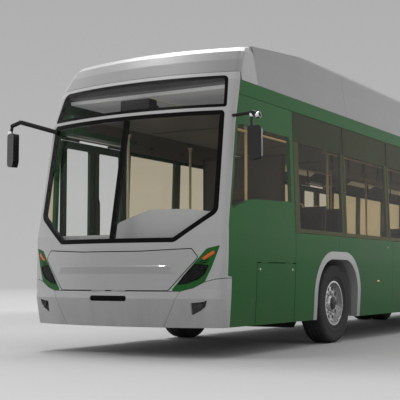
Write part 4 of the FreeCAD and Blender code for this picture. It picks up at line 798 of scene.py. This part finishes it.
seat_cloth = cloth("seat_cloth", (0.020, 0.021, 0.024), (0.05, 0.06, 0.07))
cab_cloth = cloth("cab_cloth", (0.060, 0.040, 0.026), (0.10, 0.07, 0.045))
shell_grey = moulded("shell_grey", (0.030, 0.030, 0.032), 0.5)
handle_beige = moulded("handle_beige", (0.56, 0.48, 0.32), 0.4, dust=0.1)
cushion_pad = cushion([
    (-0.392, 0.418), (-0.135, 0.426), (-0.135, 0.462), (-0.392, 0.444)], SEAT_WIDTH)
back_pad = cushion([(-0.108, 0.490), (-0.044, 0.985), (0.002, 0.985), (-0.062, 0.490)], SEAT_WIDTH)
for number, (x, y, foot) in enumerate(SEATS + HIGH_SEATS + DECK_SEATS + [CAB_SEAT], start=1):
    finish = cab_cloth if foot == CAB_FLOOR else seat_cloth
    for part, shape in (("cushion", cushion_pad), ("back", back_pad)):
        pad = made(
            f"seat_{part}_{number}", finish, "black_trim", [twin_of(shape, (x, y, foot))],
            smooth=80.0)
for spare in (cushion_pad, back_pad):
    bpy.data.objects.remove(spare)

pan = rounded(section([
    (-0.400, 0.400), (-0.398, 0.424), (-0.128, 0.432), (-0.070, 0.470), (-0.004, 1.000),
    (0.004, 1.040), (0.014, 1.048), (0.028, 1.035), (0.008, 0.780), (-0.012, 0.560),
    (-0.020, 0.420), (-0.150, 0.384)], SEAT_WIDTH + 0.01), 0.011)
foot_block = rounded(section([
    (-0.245, 0.020), (-0.155, 0.020), (-0.165, 0.398), (-0.265, 0.398)], 0.20), 0.010)
foot_plate = rounded(section([
    (-0.285, 0.001), (-0.125, 0.001), (-0.125, 0.021), (-0.285, 0.021)], 0.30), 0.006)
shells = []
for x, y, foot in SEATS:
    shells += [twin_of(part, (x, y, foot)) for part in (pan, foot_block, foot_plate)]
for x, y, foot in HIGH_SEATS + DECK_SEATS:
    shells.append(twin_of(pan, (x, y, foot)))
shell_piece = made("seat_shells", shell_grey, "plastic", shells)
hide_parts("seats")
cab_base = rounded(section([
    (-0.360, 0.001), (-0.040, 0.001), (-0.060, 0.250), (-0.340, 0.250)], 0.30), 0.015)
cab_ribs = [
    rounded(section([
        (-0.375, z), (-0.030, z), (-0.030, z + 0.016), (-0.375, z + 0.016)], 0.34), 0.006)
    for z in (0.255, 0.285, 0.315, 0.345)]
cab_head = rounded(section([
    (-0.085, 1.060), (-0.020, 1.070), (0.010, 1.195), (-0.030, 1.200),
    (-0.070, 1.180)], 0.26), 0.022)
made("cab_seat_frame", shell_grey, "plastic",
     [twin_of(part, CAB_SEAT) for part in (pan, cab_base, *cab_ribs)])
head = made("cab_headrest", cab_cloth, "black_trim", [twin_of(cab_head, CAB_SEAT)], smooth=80.0)
for spare in (pan, foot_block, foot_plate, cab_base, cab_head, *cab_ribs):
    bpy.data.objects.remove(spare)

handles = []
for x, y, foot in SEATS + HIGH_SEATS:
    inward = -1.0 if x > 0 else 1.0
    edge = x + inward * 0.170
    bends = ((-0.055, 0.006, 1.035), (-0.055, 0.012, 1.075), (0.0, 0.014, 1.095),
             (0.030, 0.014, 1.080), (0.036, 0.012, 1.030), (0.036, 0.004, 0.860))
    handles.append(tube([
        (edge + inward * across, y + along, foot + up)
        for across, along, up in bends], 0.0125, bent=True))
x, y, foot = CAB_SEAT
for side in (1, -1):
    handles.append(tube([
        (x + side * 0.222, y - 0.040, foot + 0.62), (x + side * 0.226, y - 0.02, foot + 0.80),
        (x + side * 0.222, y + 0.01, foot + 1.02)], 0.013, bent=True))
made("seat_handles", handle_beige, "pole", handles, smooth=60.0)


# ---- Grab poles ----
# Powder-coated steel tubes from the floor to the ceiling, with a flange and a collar at each
# end, rails under the ceiling and plastic hand loops on them.

pole_beige = moulded("pole_beige", (0.52, 0.46, 0.32), 0.35)
pole_beige.wear("grab_poles")
UP, DOWN, AHEAD, BACK = (0.0, 0.0, 1.0), (0.0, 0.0, -1.0), (0.0, -1.0, 0.0), (0.0, 1.0, 0.0)
POLES = ((-0.90, -4.95, FLOOR, 2.652), (-0.90, -3.45, 1.101, 2.652), (-0.56, -1.75, FLOOR, 2.70),
         (0.70, -2.35, FLOOR, 2.70), (-0.56, 0.70, FLOOR, 2.70), (-0.56, 2.35, FLOOR, 2.70))
flanges = []
for x, y, low, high in POLES:
    flanges.append(bowl((x, y, low), UP, [
        (0.001, 0.0182), (0.001, 0.038), (0.006, 0.038), (0.012, 0.028), (0.030, 0.024),
        (0.032, 0.0182)], 20))
    flanges.append(bowl((x, y, high), DOWN, [
        (0.001, 0.0182), (0.001, 0.040), (0.006, 0.040), (0.012, 0.028), (0.045, 0.024),
        (0.047, 0.0182)], 20))
made("pole_flanges", handle_beige, "pole", flanges)
RAIL_HEIGHT = 2.62
rail_runs = []
for x, start, end in ((0.62, -2.35, 4.45), (-0.56, -1.75, 0.70), (-0.62, 2.35, 4.45)):
    rail_runs.append(tube([(x, start, RAIL_HEIGHT), (x, end, RAIL_HEIGHT)], 0.014, 3))
    for step in range(int((end - start) / 0.9) + 1):
        y = min(start + 0.06 + step * 0.9, end - 0.03)
        rail_runs.append(tube([(x, y, RAIL_HEIGHT), (x, y, 2.699)], 0.011, 2))
        rail_runs.append(bowl((x, y, RAIL_HEIGHT - 0.019), UP, [
            (0.0, 0.0), (0.0, 0.012), (0.006, 0.0185), (0.030, 0.0185), (0.040, 0.0125),
            (0.050, 0.0115), (0.051, 0.0)], 12))
made("ceiling_rails", pole_beige, "pole", rail_runs, smooth=60.0)
LOOP = ((0.0, 0.018), (-0.012, 0.0), (-0.014, -0.080), (-0.040, -0.180), (-0.050, -0.205),
        (-0.030, -0.218), (0.030, -0.218), (0.050, -0.205), (0.040, -0.180), (0.014, -0.080),
        (0.012, 0.0), (0.0, 0.018))
loops = []
for x, start, end in ((0.62, -2.0, 4.3), (-0.56, -1.5, 0.5), (-0.62, 2.6, 4.3)):
    for step in range(int((end - start) / 0.62) + 1):
        y = start + step * 0.62
        bends = [(x, y + across, RAIL_HEIGHT + drop) for across, drop in LOOP]
        loops.append(tube(bends, 0.0075, 1, bent=True))
loop_black = moulded("loop_black", grey(0.018), 0.55)
made("hand_loops", loop_black, "black_trim", loops, smooth=60.0)


# ---- Ceiling, ducts and sign box ----
# Brown-grey ceiling boards and air ducts run along both sides, with white light strips set in
# their slopes. The sign's dark case and a strip light hang behind the upper glass.

def run(outline, start, end):
    """A bar of one section in the XZ plane, from one place to another along the bus."""
    return prism([(x, start, z) for x, z in outline], (0.0, end - start, 0.0))


def board(low, high, bevel=0.004, steps=2):
    """A rectangular board or case with rounded edges, between two corners."""
    return rounded(run(
        [(low[0], low[2]), (high[0], low[2]), (high[0], high[2]), (low[0], high[2])], low[1],
        high[1]), bevel, steps)


moulded("ceiling_brown", (0.042, 0.036, 0.028), 0.5, 90.0, 0.0004).wear("ceiling")
# the pale roof lining glows faintly: painted light, since it is no lamp
roof_lining_painted_glow = moulded("roof_lining_painted_glow", grey(0.62), 0.6, 60.0, 0.0004)
roof_lining_painted_glow.set("Emission Color", grey(0.62))
roof_lining_painted_glow.set("Emission Strength", 0.16)
roof_lining_painted_glow.wear("roof_panel")
strip_white = Finish("strip_white", (0.50, 0.46, 0.38), 0.4, Emission_Strength=0.12)
strip_white.set("Emission Color", strip_white.mix(
    (strip_white.axis("Y") * 60.0).sine().ramp(-1.0, 1.0), (0.80, 0.76, 0.66), (0.68, 0.65, 0.58)))
SLOPE = ((0.872, 2.682), (0.964, 2.621), (0.956, 2.613), (0.866, 2.673))
CENTRE_STRIP = ((-0.075, 2.924), (-0.03, 2.924), (-0.034, 2.908), (-0.071, 2.908))
strips = []
for side in (1, -1):
    for start in (-2.4, 0.3 if side > 0 else -0.5, 2.4, 4.3):
        strips.append(run([(side * x, z) for x, z in SLOPE], start, start + 1.2))
strips.append(run(CENTRE_STRIP, -5.74, -4.95))
made("light_strips", strip_white, "liner", strips, bevel=0.002)
case_black = moulded("case_black", grey(0.010), 0.5)
made("sign_case", case_black, "black_trim", [
    board((-0.20, -6.10, 2.668), (0.19, -5.93, 2.84), 0.008),
    board((-0.92, -5.99, 2.668), (0.92, -5.965, 2.688)),
    board((-0.14, -5.93, 2.70), (0.13, -5.80, 2.80), 0.006)])
seams = [
    board((-0.82, y, 2.695), (0.82, y + 0.012, 2.6995), 0.001, 1)
    for y in (-4.6, -2.6, -0.6, 1.4, 3.4)]
made("ceiling_seams", case_black, "black_trim", seams)


def along_sides(places, door_start, door_end):
    """Each side with each place along it, but nothing in the middle doorway."""
    return [(side, y) for side in (1, -1) for y in places
            if side > 0 or not door_start < y < door_end]


outlets = []
for side, y in along_sides([-4.2 + step * 0.75 for step in range(14)], 0.6, 2.4):
    outlets.append(bowl((side * 1.045, y, 2.568), (-side * 0.549, 0.0, -0.835), [
        (0.0, 0.040), (0.006, 0.042), (0.009, 0.036), (0.003, 0.028), (0.004, 0.0)], 20))
made("air_outlets", case_black, "black_trim", outlets)


# ---- Dashboard and controls ----
# A moulded dashboard with a cowl over two dials, rocker switches and vents, and a thick-rimmed
# wheel with a horn pad. The pedals hang over the driver's podium.

moulded("dash_grey", grey(0.34), 0.5, 260.0, 0.0003).wear("dashboard")
wheel_black = moulded("wheel_black", (0.016, 0.016, 0.017), 0.45, 420.0, 0.0003)
wheel_black.wear("steering_wheel")
DASH_FACE = -5.842
cowl = rounded(section([
    (DASH_FACE, 1.300), (DASH_FACE, 1.520), (-5.790, 1.560), (-5.735, 1.545), (-5.800, 1.505),
    (-5.818, 1.300)], 0.50), 0.008)
cowl.location = (0.56, 0.0, 0.0)
made("dash_cowl", wheel_black, "black_trim", [placed(cowl)])
dial_white = Finish("dial_white", (0.45, 0.45, 0.43), 0.3, Coat_Weight=0.4)
ticks = (dial_white.axis("X") * 420.0).sine() * (dial_white.axis("Z") * 420.0).sine()
dial_white.set("Base Color", dial_white.mix(ticks.ramp(0.2, 0.4), grey(0.02), (0.5, 0.5, 0.48)))
dials = [bowl((x, -5.8165, 1.420), BACK, [
    (0.0, 0.0), (0.0, 0.052), (0.005, 0.055), (0.008, 0.052), (0.003, 0.047),
    (0.003, 0.0)], 32) for x in (0.46, 0.66)]
made("dash_dials", dial_white, "plastic", dials)
switches = []
for column in range(8):
    for row in range(2):
        x = 0.86 + (column % 4) * 0.045 - (0.76 if column > 3 else 0.0)
        z = 1.38 + row * 0.058
        switches.append(board((x, DASH_FACE, z), (x + 0.034, -5.828, z + 0.044), 0.003))
made("dash_switches", case_black, "black_trim", switches)
vents = []
for x, top in ((-0.55, 1.309), (0.12, 1.520), (0.36, 1.5722), (0.88, 1.5605)):
    for slat in range(5):
        y = -6.02 + slat * 0.022
        vents.append(board(
            (x - 0.075, y, top - 0.004), (x + 0.075, y + 0.010, top + 0.004), 0.001, 1))
made("dash_vents", case_black, "black_trim", vents)
AXIS = Vector((0.0, 0.4695, 0.8829))
WHEEL_CENTRE = Vector((0.56, -5.48, 1.24))
pad = bowl(WHEEL_CENTRE + AXIS * 0.012, AXIS, [
    (0.0, 0.0), (0.0, 0.060), (0.016, 0.056), (0.026, 0.036), (0.028, 0.0)], 28)
made("horn_pad", case_black, "black_trim", [pad], "steering_wheel", smooth=60.0)
pedals = []
for x in (0.42, 0.55, 0.70):
    pedals.append(rounded(section([
        (-5.800, 0.745), (-5.785, 0.735), (-5.735, 0.870), (-5.750, 0.880)], 0.075), 0.004))
    pedals[-1].location = (x, 0.0, 0.0)
    pedals.append(tube([(x, -5.755, 0.82), (x, -5.80, 0.93), (x, -5.835, 1.06)], 0.010))
made("pedals", case_black, "black_trim", pedals)


# ---- Driver's cabin ----
# A dark laminated partition in a black frame stands behind the driver, with a beige pole beside
# the side window and a blind rail over it. A ribbed rubber mat lies under the pedals.

moulded("partition_brown", (0.030, 0.024, 0.018), 0.5, 180.0, 0.0003).wear("driver_partition")
TRIM_EDGES = (
    (0.055, 0.372, 0.085, 2.298), (1.140, 0.372, 1.168, 2.298), (0.055, 2.276, 1.168, 2.302),
    (0.055, 1.190, 1.168, 1.215))
trims = [board((left, -4.694, low), (right, -4.660, high)) for left, low, right, high in TRIM_EDGES]
made("partition_trims", case_black, "black_trim", trims)
made("cab_pole", handle_beige, "pole", [
    tube([(1.10, -5.51, 0.701), (1.10, -5.51, 2.53)], 0.016, 3),
    bowl((1.10, -5.51, 0.701), UP, [
        (0.0, 0.0161), (0.0, 0.034), (0.006, 0.034), (0.020, 0.022), (0.021, 0.0161)], 20),
    tube([(1.215, -6.02, 2.430), (1.215, -4.74, 2.430)], 0.013, 3),
    tube([
        (0.10, -4.652, 0.95), (0.10, -4.620, 1.00), (0.10, -4.620, 1.80),
        (0.10, -4.652, 1.85)], 0.013, 3)])
boot = bowl((0.56, -5.48, 1.0), -AXIS, [(0.0, 0.0), (0.0, 0.035), (0.25, 0.045), (0.26, 0.0)], 20)
made("column_boot", case_black, "black_trim", [boot], smooth=60.0)
mat_rubber = moulded("mat_rubber", grey(0.020), 0.7, 120.0, 0.0006)
mat_ribs = [board((0.30, -5.72 + row * 0.05, 0.7005), (0.92, -5.69 + row * 0.05, 0.7035), 0.001, 1)
            for row in range(10)]
made("cab_mat", mat_rubber, "board", mat_ribs)


# ---- Doors ----
# Each leaf is an aluminium frame with rubber seals along its edges and round its glass, and a
# grab handle inside. Two bolts hold the arm over it, and a strip light hangs over the doorway.

seal_black = moulded("seal_black", grey(0.010), 0.6, 300.0, 0.0004)
for leaf, start, end, free in (
    ("front_door_a", -5.915, -5.280, 1), ("front_door_b", -5.270, -4.635, -1),
    ("mid_door_a", 0.855, 1.500, 1), ("mid_door_b", 1.510, 2.155, -1)):
    body = f"{leaf}_leaf"
    edges = []
    for y in (start + 0.001, end - 0.017):
        for x in (-1.2175, -1.1855):
            edges.append(board((x, y, 0.392), (x + 0.003, y + 0.016, 2.486), 0.001, 1))
    edges.append(board((-1.2175, start + 0.02, 0.392), (-1.2145, end - 0.02, 0.420), 0.001, 1))
    for y in (start + 0.091, end - 0.096):
        edges.append(board((-1.2165, y, 0.526), (-1.2140, y + 0.005, 2.402), 0.0008, 1))
    for z in (0.522, 2.402):
        edges.append(board(
            (-1.2165, start + 0.091, z), (-1.2140, end - 0.091, z + 0.005), 0.0008, 1))
    made(f"{leaf}_seals", seal_black, "black_trim", edges, body)
    y = end - 0.050 if free > 0 else start + 0.050
    grip = tube([
        (-1.184, y, 0.98), (-1.155, y, 1.00), (-1.150, y, 1.06), (-1.150, y, 1.74),
        (-1.155, y, 1.80), (-1.184, y, 1.82)], 0.0125, 3, bent=True)
    made(f"{leaf}_grip", seal_black, "black_trim", [grip], body, smooth=60.0)
    pivot = start + 0.012 if free > 0 else end - 0.012
    bolts = [bowl(
        (-1.2, pivot + free * reach, 2.518), UP,
        [(0.0, 0.0), (0.0, 0.011), (0.006, 0.011), (0.008, 0.008), (0.008, 0.0)],
        6) for reach in (0.030, 0.060)]
    made(f"{leaf}_arm_bolts", nut_steel, "steel", bolts, f"{leaf}_arm", smooth=30.0)
lights_over = [
    board((-1.190, start, 2.536), (-1.170, end, 2.546), 0.002)
    for start, end in ((-5.83, -4.72), (0.94, 2.07))]
made("door_lights", strip_white, "liner", lights_over)


# ---- Mirrors ----
# Cast heads on bent tube arms, each with two mirror panes set in its back, held by ring clamps.

mirror_glass = Finish("mirror_glass", (0.72, 0.74, 0.76), 0.02, Metallic=1.0)
mirror_glass.set("Roughness", 0.02 + mirror_glass.noise(6.0, 3.0) * 0.02)
panes = []
for x, y, turn, low, high in (
    (1.465, -5.98, 15.0, 2.075, 2.44), (-1.55, -6.38, -20.0, 2.125, 2.53)):
    middle = (low + high) / 2
    for bottom, top in ((low + 0.020, low + 0.115), (low + 0.130, high - 0.020)):
        mirror_pane = board((-0.058, 0.037, bottom), (0.058, 0.0405, top), 0.0012)
        mirror_pane.rotation_euler = (0.0, 0.0, math.radians(turn))
        mirror_pane.location = (x, y, 0.0)
        panes.append(placed(mirror_pane))
made("mirror_panes", mirror_glass, "steel", panes)
clamps = []
for x, y, z in ((1.425, -5.98, 2.560), (-1.591, -6.385, 2.545)):
    clamps.append(bowl((x, y, z - 0.022), UP, [
        (0.0, 0.020), (0.0, 0.026), (0.005, 0.028), (0.035, 0.028), (0.040, 0.026),
        (0.040, 0.020)], 20))
clamps.append(bowl((1.500, -5.975, 2.552), (1, 0, 0.2), [
    (-0.020, 0.030), (-0.020, 0.034), (0.020, 0.034), (0.020, 0.030)], 24))
made("mirror_clamps", chrome, "steel", clamps, smooth=50.0)


# ---- Tail ----
# Three round lamps stand over each other in each red cluster. Black blades close the louvre
# slots of the engine lid, which has two quarter-turn catches. Two ledges and a wiper finish it.

cluster_red = Finish("cluster_red", (0.20, 0.010, 0.010), 0.25, Coat_Weight=0.3)
cluster_red.bump(
    (cluster_red.axis("Z") * 700.0).sine() + (cluster_red.axis("X") * 700.0).sine(), 0.0003)
cluster_red.wear("tail_lamps")


def stud(at, aim, sunk, radius, edge, top, flat, steps=20):
    """A round catch or bolt head: sunk in its panel, with a sloping rim and a flat top."""
    return bowl(at, aim, [
        (-sunk, 0.0), (-sunk, radius), (edge, radius), (top, flat), (top, 0.0)], steps)


def tail_y(x, z):
    """The place of the lamp cluster's outer face on the tail, found by a ray from behind."""
    hit = bpy.context.scene.ray_cast(
        bpy.context.evaluated_depsgraph_get(), Vector((x, 9.0, z)), Vector((0.0, -1.0, 0.0)))
    return hit[1].y


def lens(name, colour):
    """A ribbed, glossy lamp lens."""
    finish = Finish(name, colour, 0.15, Coat_Weight=0.5)
    finish.bump((finish.axis("Z") * 500.0).sine(), 0.0005)
    return finish


lens_red = lens("lens_red", (0.42, 0.012, 0.010))
lens_amber = lens("lens_amber", (0.55, 0.16, 0.015))
lens_white = lens("lens_white", grey(0.55))
for name, finish, z in (
    ("stop", lens_red, 1.36), ("turn", lens_amber, 1.17), ("reverse", lens_white, 0.98)):
    lenses = [bowl((side * 1.055, tail_y(side * 1.055, z), z), (side * 0.25, 0.97, 0.0), [
        (-0.006, 0.0), (-0.006, 0.076), (0.003, 0.076), (0.005, 0.068), (0.003, 0.064),
        (0.008, 0.040), (0.009, 0.0)], 36) for side in (1, -1)]
    made(f"tail_{name}_lenses", finish, "lamp_red", lenses, smooth=50.0)
blades = []
for step in range(8):
    z = 0.930 + 0.06 * step
    blades.append(prism([
        (-0.61, 6.546, z + 0.030), (-0.61, 6.572, z - 0.001), (-0.61, 6.574, z + 0.001),
        (-0.61, 6.549, z + 0.032)], (1.22, 0.0, 0.0)))
made("louvre_blades", case_black, "black_trim", blades, "engine_lid")
catches = [stud((x, 6.596, 1.455), BACK, 0.004, 0.016, 0.001, 0.003, 0.013) for x in (-0.74, 0.74)]
made("lid_catches", nut_steel, "steel", catches, "engine_lid")
ledges = [board((-0.27, 6.545, 0.475), (0.27, 6.578, 0.487), 0.002),
          board((-0.27, 6.560, 0.605), (0.27, 6.594, 0.612), 0.002)]
made("plate_ledges", case_black, "black_trim", ledges)
wiper = [tube([(0.0, 6.57, 1.66), (0.0, 6.593, 1.66), (0.30, 6.578, 1.86)], 0.006),
         tube([(0.10, 6.574, 1.80), (0.50, 6.561, 1.92)], 0.005)]
made("rear_wiper", case_black, "black_trim", wiper)


# ---- Side trim ----
# Black rubber joints between the bonded panes, amber side markers on the skirts, and round
# steel catches on the service hatch and the skirts.

joints = []
for side, places in (
    (1, (-4.596, -3.08, -1.44, 0.20, 1.84, 3.48, 5.12)), (-1, (-3.30, -1.90, -0.50, 3.60, 5.00))):
    for y in places:
        low_x, high_x = side * 1.2700, side * 1.2310
        joints.append(prism([
            (low_x, y - 0.004, 1.385), (low_x, y + 0.004, 1.385), (high_x, y + 0.004, 2.80),
            (high_x, y - 0.004, 2.80)], (side * 0.0036, 0.0, 0.0)))
made("pane_joints", seal_black, "black_trim", joints)
markers = []
for side, y in along_sides((-1.9, 0.4, 2.2, 4.9), 0.3, 2.3):
    markers.append(board(
        (side * 1.2645 - 0.0045, y - 0.045, 0.775), (side * 1.2645 + 0.0045, y + 0.045, 0.800),
        0.003))
made("side_markers", lens_amber, "lamp_red", markers)
latches = [stud(
    (1.2690, y, 0.93), (1, 0, 0), 0.003, 0.013, 0.0015, 0.0022, 0.010) for y in (-5.50, -4.68)]
made("hatch_catches", nut_steel, "steel", latches, "service_hatch")
catches = []
for side, y in along_sides((-1.5, -0.3, 0.9, 2.1, 5.2), 0.5, 2.5):
    catches.append(stud(
        (side * 1.2738, y, 1.27), (side, 0, 0), 0.003, 0.012, 0.0012, 0.002, 0.009, 16))
made("skirt_catches", nut_steel, "steel", catches)


# ---- Chassis ----
# Welded rails, axles, steering and the engine's block, brushed with black chassis wax that
# holds road dust; the arms over the doors are powder-coated black.

chassis_black = moulded("chassis_black", grey(0.018), 0.55, 120.0, 0.0005, 0.5)
chassis_black.wear(
    "chassis_rails", "front_axle_beam", "rear_axle", "left_knuckle", "right_knuckle", "tie_rod",
    "engine_block", "battery_block", "front_door_a_arm", "front_door_b_arm", "mid_door_a_arm",
    "mid_door_b_arm")


# ---- Running gear ----
# Rubber air springs at each axle, dampers, a propeller shaft from the engine, its silencer, and
# four steel air tanks strapped under the rear floor.

bellows_black = moulded("bellows_black", grey(0.015), 0.7, 240.0, 0.0003)
springs = []
for side in (1, -1):
    springs.append(bowl((side * 0.425, FRONT_AXLE, 0.291), (0, 0, 1), [
        (0.0, 0.047), (0.002, 0.075), (0.009, 0.084), (0.016, 0.076), (0.023, 0.084),
        (0.027, 0.075), (0.028, 0.047)], 28))
    springs.append(bowl((side * 0.425, REAR_AXLE, 0.600), (0, 0, 1), [
        (0.0, 0.030), (0.0, 0.070), (0.006, 0.100), (0.016, 0.110), (0.024, 0.098), (0.032, 0.110),
        (0.042, 0.100), (0.048, 0.070), (0.048, 0.030)], 36))
made("air_springs", bellows_black, "black_trim", springs, smooth=50.0)
damper_grey = moulded("damper_grey", (0.05, 0.05, 0.052), 0.5, 120.0, 0.0004)
dampers = []
for side in (1, -1):
    dampers.append(bowl((side * 0.30, 3.02, 0.36), (0, 0.12, 0.99), [
        (0.0, 0.0), (0.0, 0.034), (0.19, 0.034), (0.192, 0.020), (0.405, 0.020), (0.407, 0.0)], 20))
dampers.append(bowl((0.0, 3.67, 0.52), (0, 1, 0.062), [
    (0.0, 0.0), (0.0, 0.075), (0.03, 0.078), (0.034, 0.045), (0.06, 0.045), (0.066, 0.055),
    (1.50, 0.055), (1.506, 0.075), (1.555, 0.075), (1.557, 0.0)], 28))
made("propeller_shaft", damper_grey, "iron", dampers, smooth=50.0)
tanks, straps = [], []
for x, z in ((0.72, 0.60), (0.95, 0.60), (-0.72, 0.62), (-0.95, 0.62)):
    tanks.append(bowl((x, 4.22, z), BACK, [
        (0.0, 0.0), (0.008, 0.050), (0.025, 0.080), (0.050, 0.092), (0.57, 0.092), (0.595, 0.080),
        (0.612, 0.050), (0.62, 0.0)], 32))
    for y in (4.34, 4.66):
        straps.append(bowl(
            (x, y, z), BACK, [(0.0, 0.0922), (0.0, 0.095), (0.028, 0.095), (0.028, 0.0922)], 32))
        straps.append(board((x - 0.014, y, z + 0.093), (x + 0.014, y + 0.028, 0.770), 0.002))
made("air_tanks", chassis_black, "iron", tanks, smooth=50.0)
made("tank_straps", nut_steel, "iron", straps, smooth=50.0)
silencer = [
    bowl((-0.62, 5.05, 0.55), BACK, [
        (0.0, 0.0), (0.0, 0.10), (0.012, 0.118), (0.90, 0.118), (0.912, 0.10), (0.912, 0.0)], 36),
    tube([
        (-0.62, 5.96, 0.55), (-0.62, 6.10, 0.55), (-0.62, 6.22, 0.50), (-0.62, 6.30, 0.42),
        (-0.62, 6.40, 0.40)], 0.035, 4, bent=True),
    tube([
        (-0.384, 5.60, 0.90), (-0.55, 5.55, 0.90), (-0.66, 5.50, 0.80),
        (-0.64, 5.40, 0.66)], 0.035, 4, bent=True)]
made("silencer", nut_steel, "iron", silencer, smooth=50.0)
engine_parts = [
    board((-0.30, 5.36, 1.150), (0.30, 6.20, 1.177), 0.01),
    bowl((0.0, 5.33, 0.62), AHEAD, [
        (0.0, 0.0), (0.0, 0.19), (0.05, 0.185), (0.07, 0.12), (0.09, 0.11), (0.09, 0.0)], 32),
    board((0.380, 5.50, 0.62), (0.450, 5.95, 0.88), 0.015),
    board((0.380, 5.45, 0.95), (0.43, 6.15, 1.02), 0.02)]
made("engine_parts", damper_grey, "iron", engine_parts, smooth=50.0)


# ---- Floor covering ----
# Grey speckled vinyl on plywood, with yellow edge strips at the doors and on the rear step.

vinyl = moulded("vinyl", (0.055, 0.056, 0.060), 0.5, 400.0, 0.0002)
specks = vinyl.noise(260.0, 2.0).ramp(0.58, 0.66)
vinyl.set("Base Color", vinyl.mix(specks, (0.055, 0.056, 0.060), (0.14, 0.14, 0.15)))
vinyl.wear("floor")
edge_yellow = moulded("edge_yellow", (0.62, 0.42, 0.03), 0.5, 300.0, 0.0004)
edges = [
    board((-1.150, start, 0.3702), (-1.100, end, 0.3745), 0.0015)
    for start, end in ((-5.90, -4.66), (0.88, 2.14))]
edges.append(board((-0.42, 2.152, 0.5902), (0.42, 2.185, 0.5945), 0.0015))
made("edge_strips", edge_yellow, "board", edges)


# ---- Roof ----
# Extractor fans with ring guards and a louvred cooler lid stand in the well between the
# fairing's raised sides, which are held down by screws.

grille_black = moulded("grille_black", grey(0.012), 0.5)
fans = []
for y in (-1.6, 1.0, 3.3):
    fans.append(bowl((0.0, y, 3.570), UP, [
        (0.0, 0.0), (0.0, 0.31), (0.020, 0.31), (0.026, 0.295), (0.012, 0.280), (0.010, 0.080),
        (0.024, 0.060), (0.026, 0.0)], 48))
    for radius in (0.12, 0.17, 0.22, 0.27):
        fans.append(bowl((0.0, y, 3.592), UP, [
            (0.0, radius), (0.004, radius + 0.003), (0.0, radius + 0.006)], 48))
    for turn in range(6):
        angle = turn * math.pi / 3
        rim = (0.29 * math.cos(angle), y + 0.29 * math.sin(angle), 3.595)
        fans.append(tube([(0.0, y, 3.595), rim], 0.004, 1))
made("roof_fans", grille_black, "black_trim", fans, smooth=50.0)
COOLER_EDGES = (
    (-0.60, 4.30, 0.60, 4.34), (-0.60, 5.72, 0.60, 5.76), (-0.62, 4.30, -0.58, 5.76),
    (0.58, 4.30, 0.62, 5.76))
cooler = [
    board((left, front, 3.569), (right, back, 3.612), 0.006)
    for left, front, right, back in COOLER_EDGES]
made("cooler_frame", grey_lacquer, "grey_paint", cooler)
louvres = []
for step in range(24):
    y = 4.36 + step * 0.0565
    louvres.append(prism([
        (-0.585, y, 3.571), (-0.585, y + 0.004, 3.571), (-0.585, y + 0.034, 3.606),
        (-0.585, y + 0.030, 3.606)], (1.17, 0.0, 0.0)))
made("cooler_louvres", grille_black, "black_trim", louvres)
screws = []
for y in (-2.6, -0.5, 2.1, 4.6, 5.9):
    for x in (-0.9, 0.9):
        screws.append(bowl((x, y, 3.6235 if y > -2.5 else 3.620), UP, [
            (-0.004, 0.0), (-0.004, 0.022), (0.0008, 0.022), (0.0010, 0.012), (-0.002, 0.010),
            (-0.002, 0.0)], 20))
made("roof_screws", nut_steel, "steel", screws)
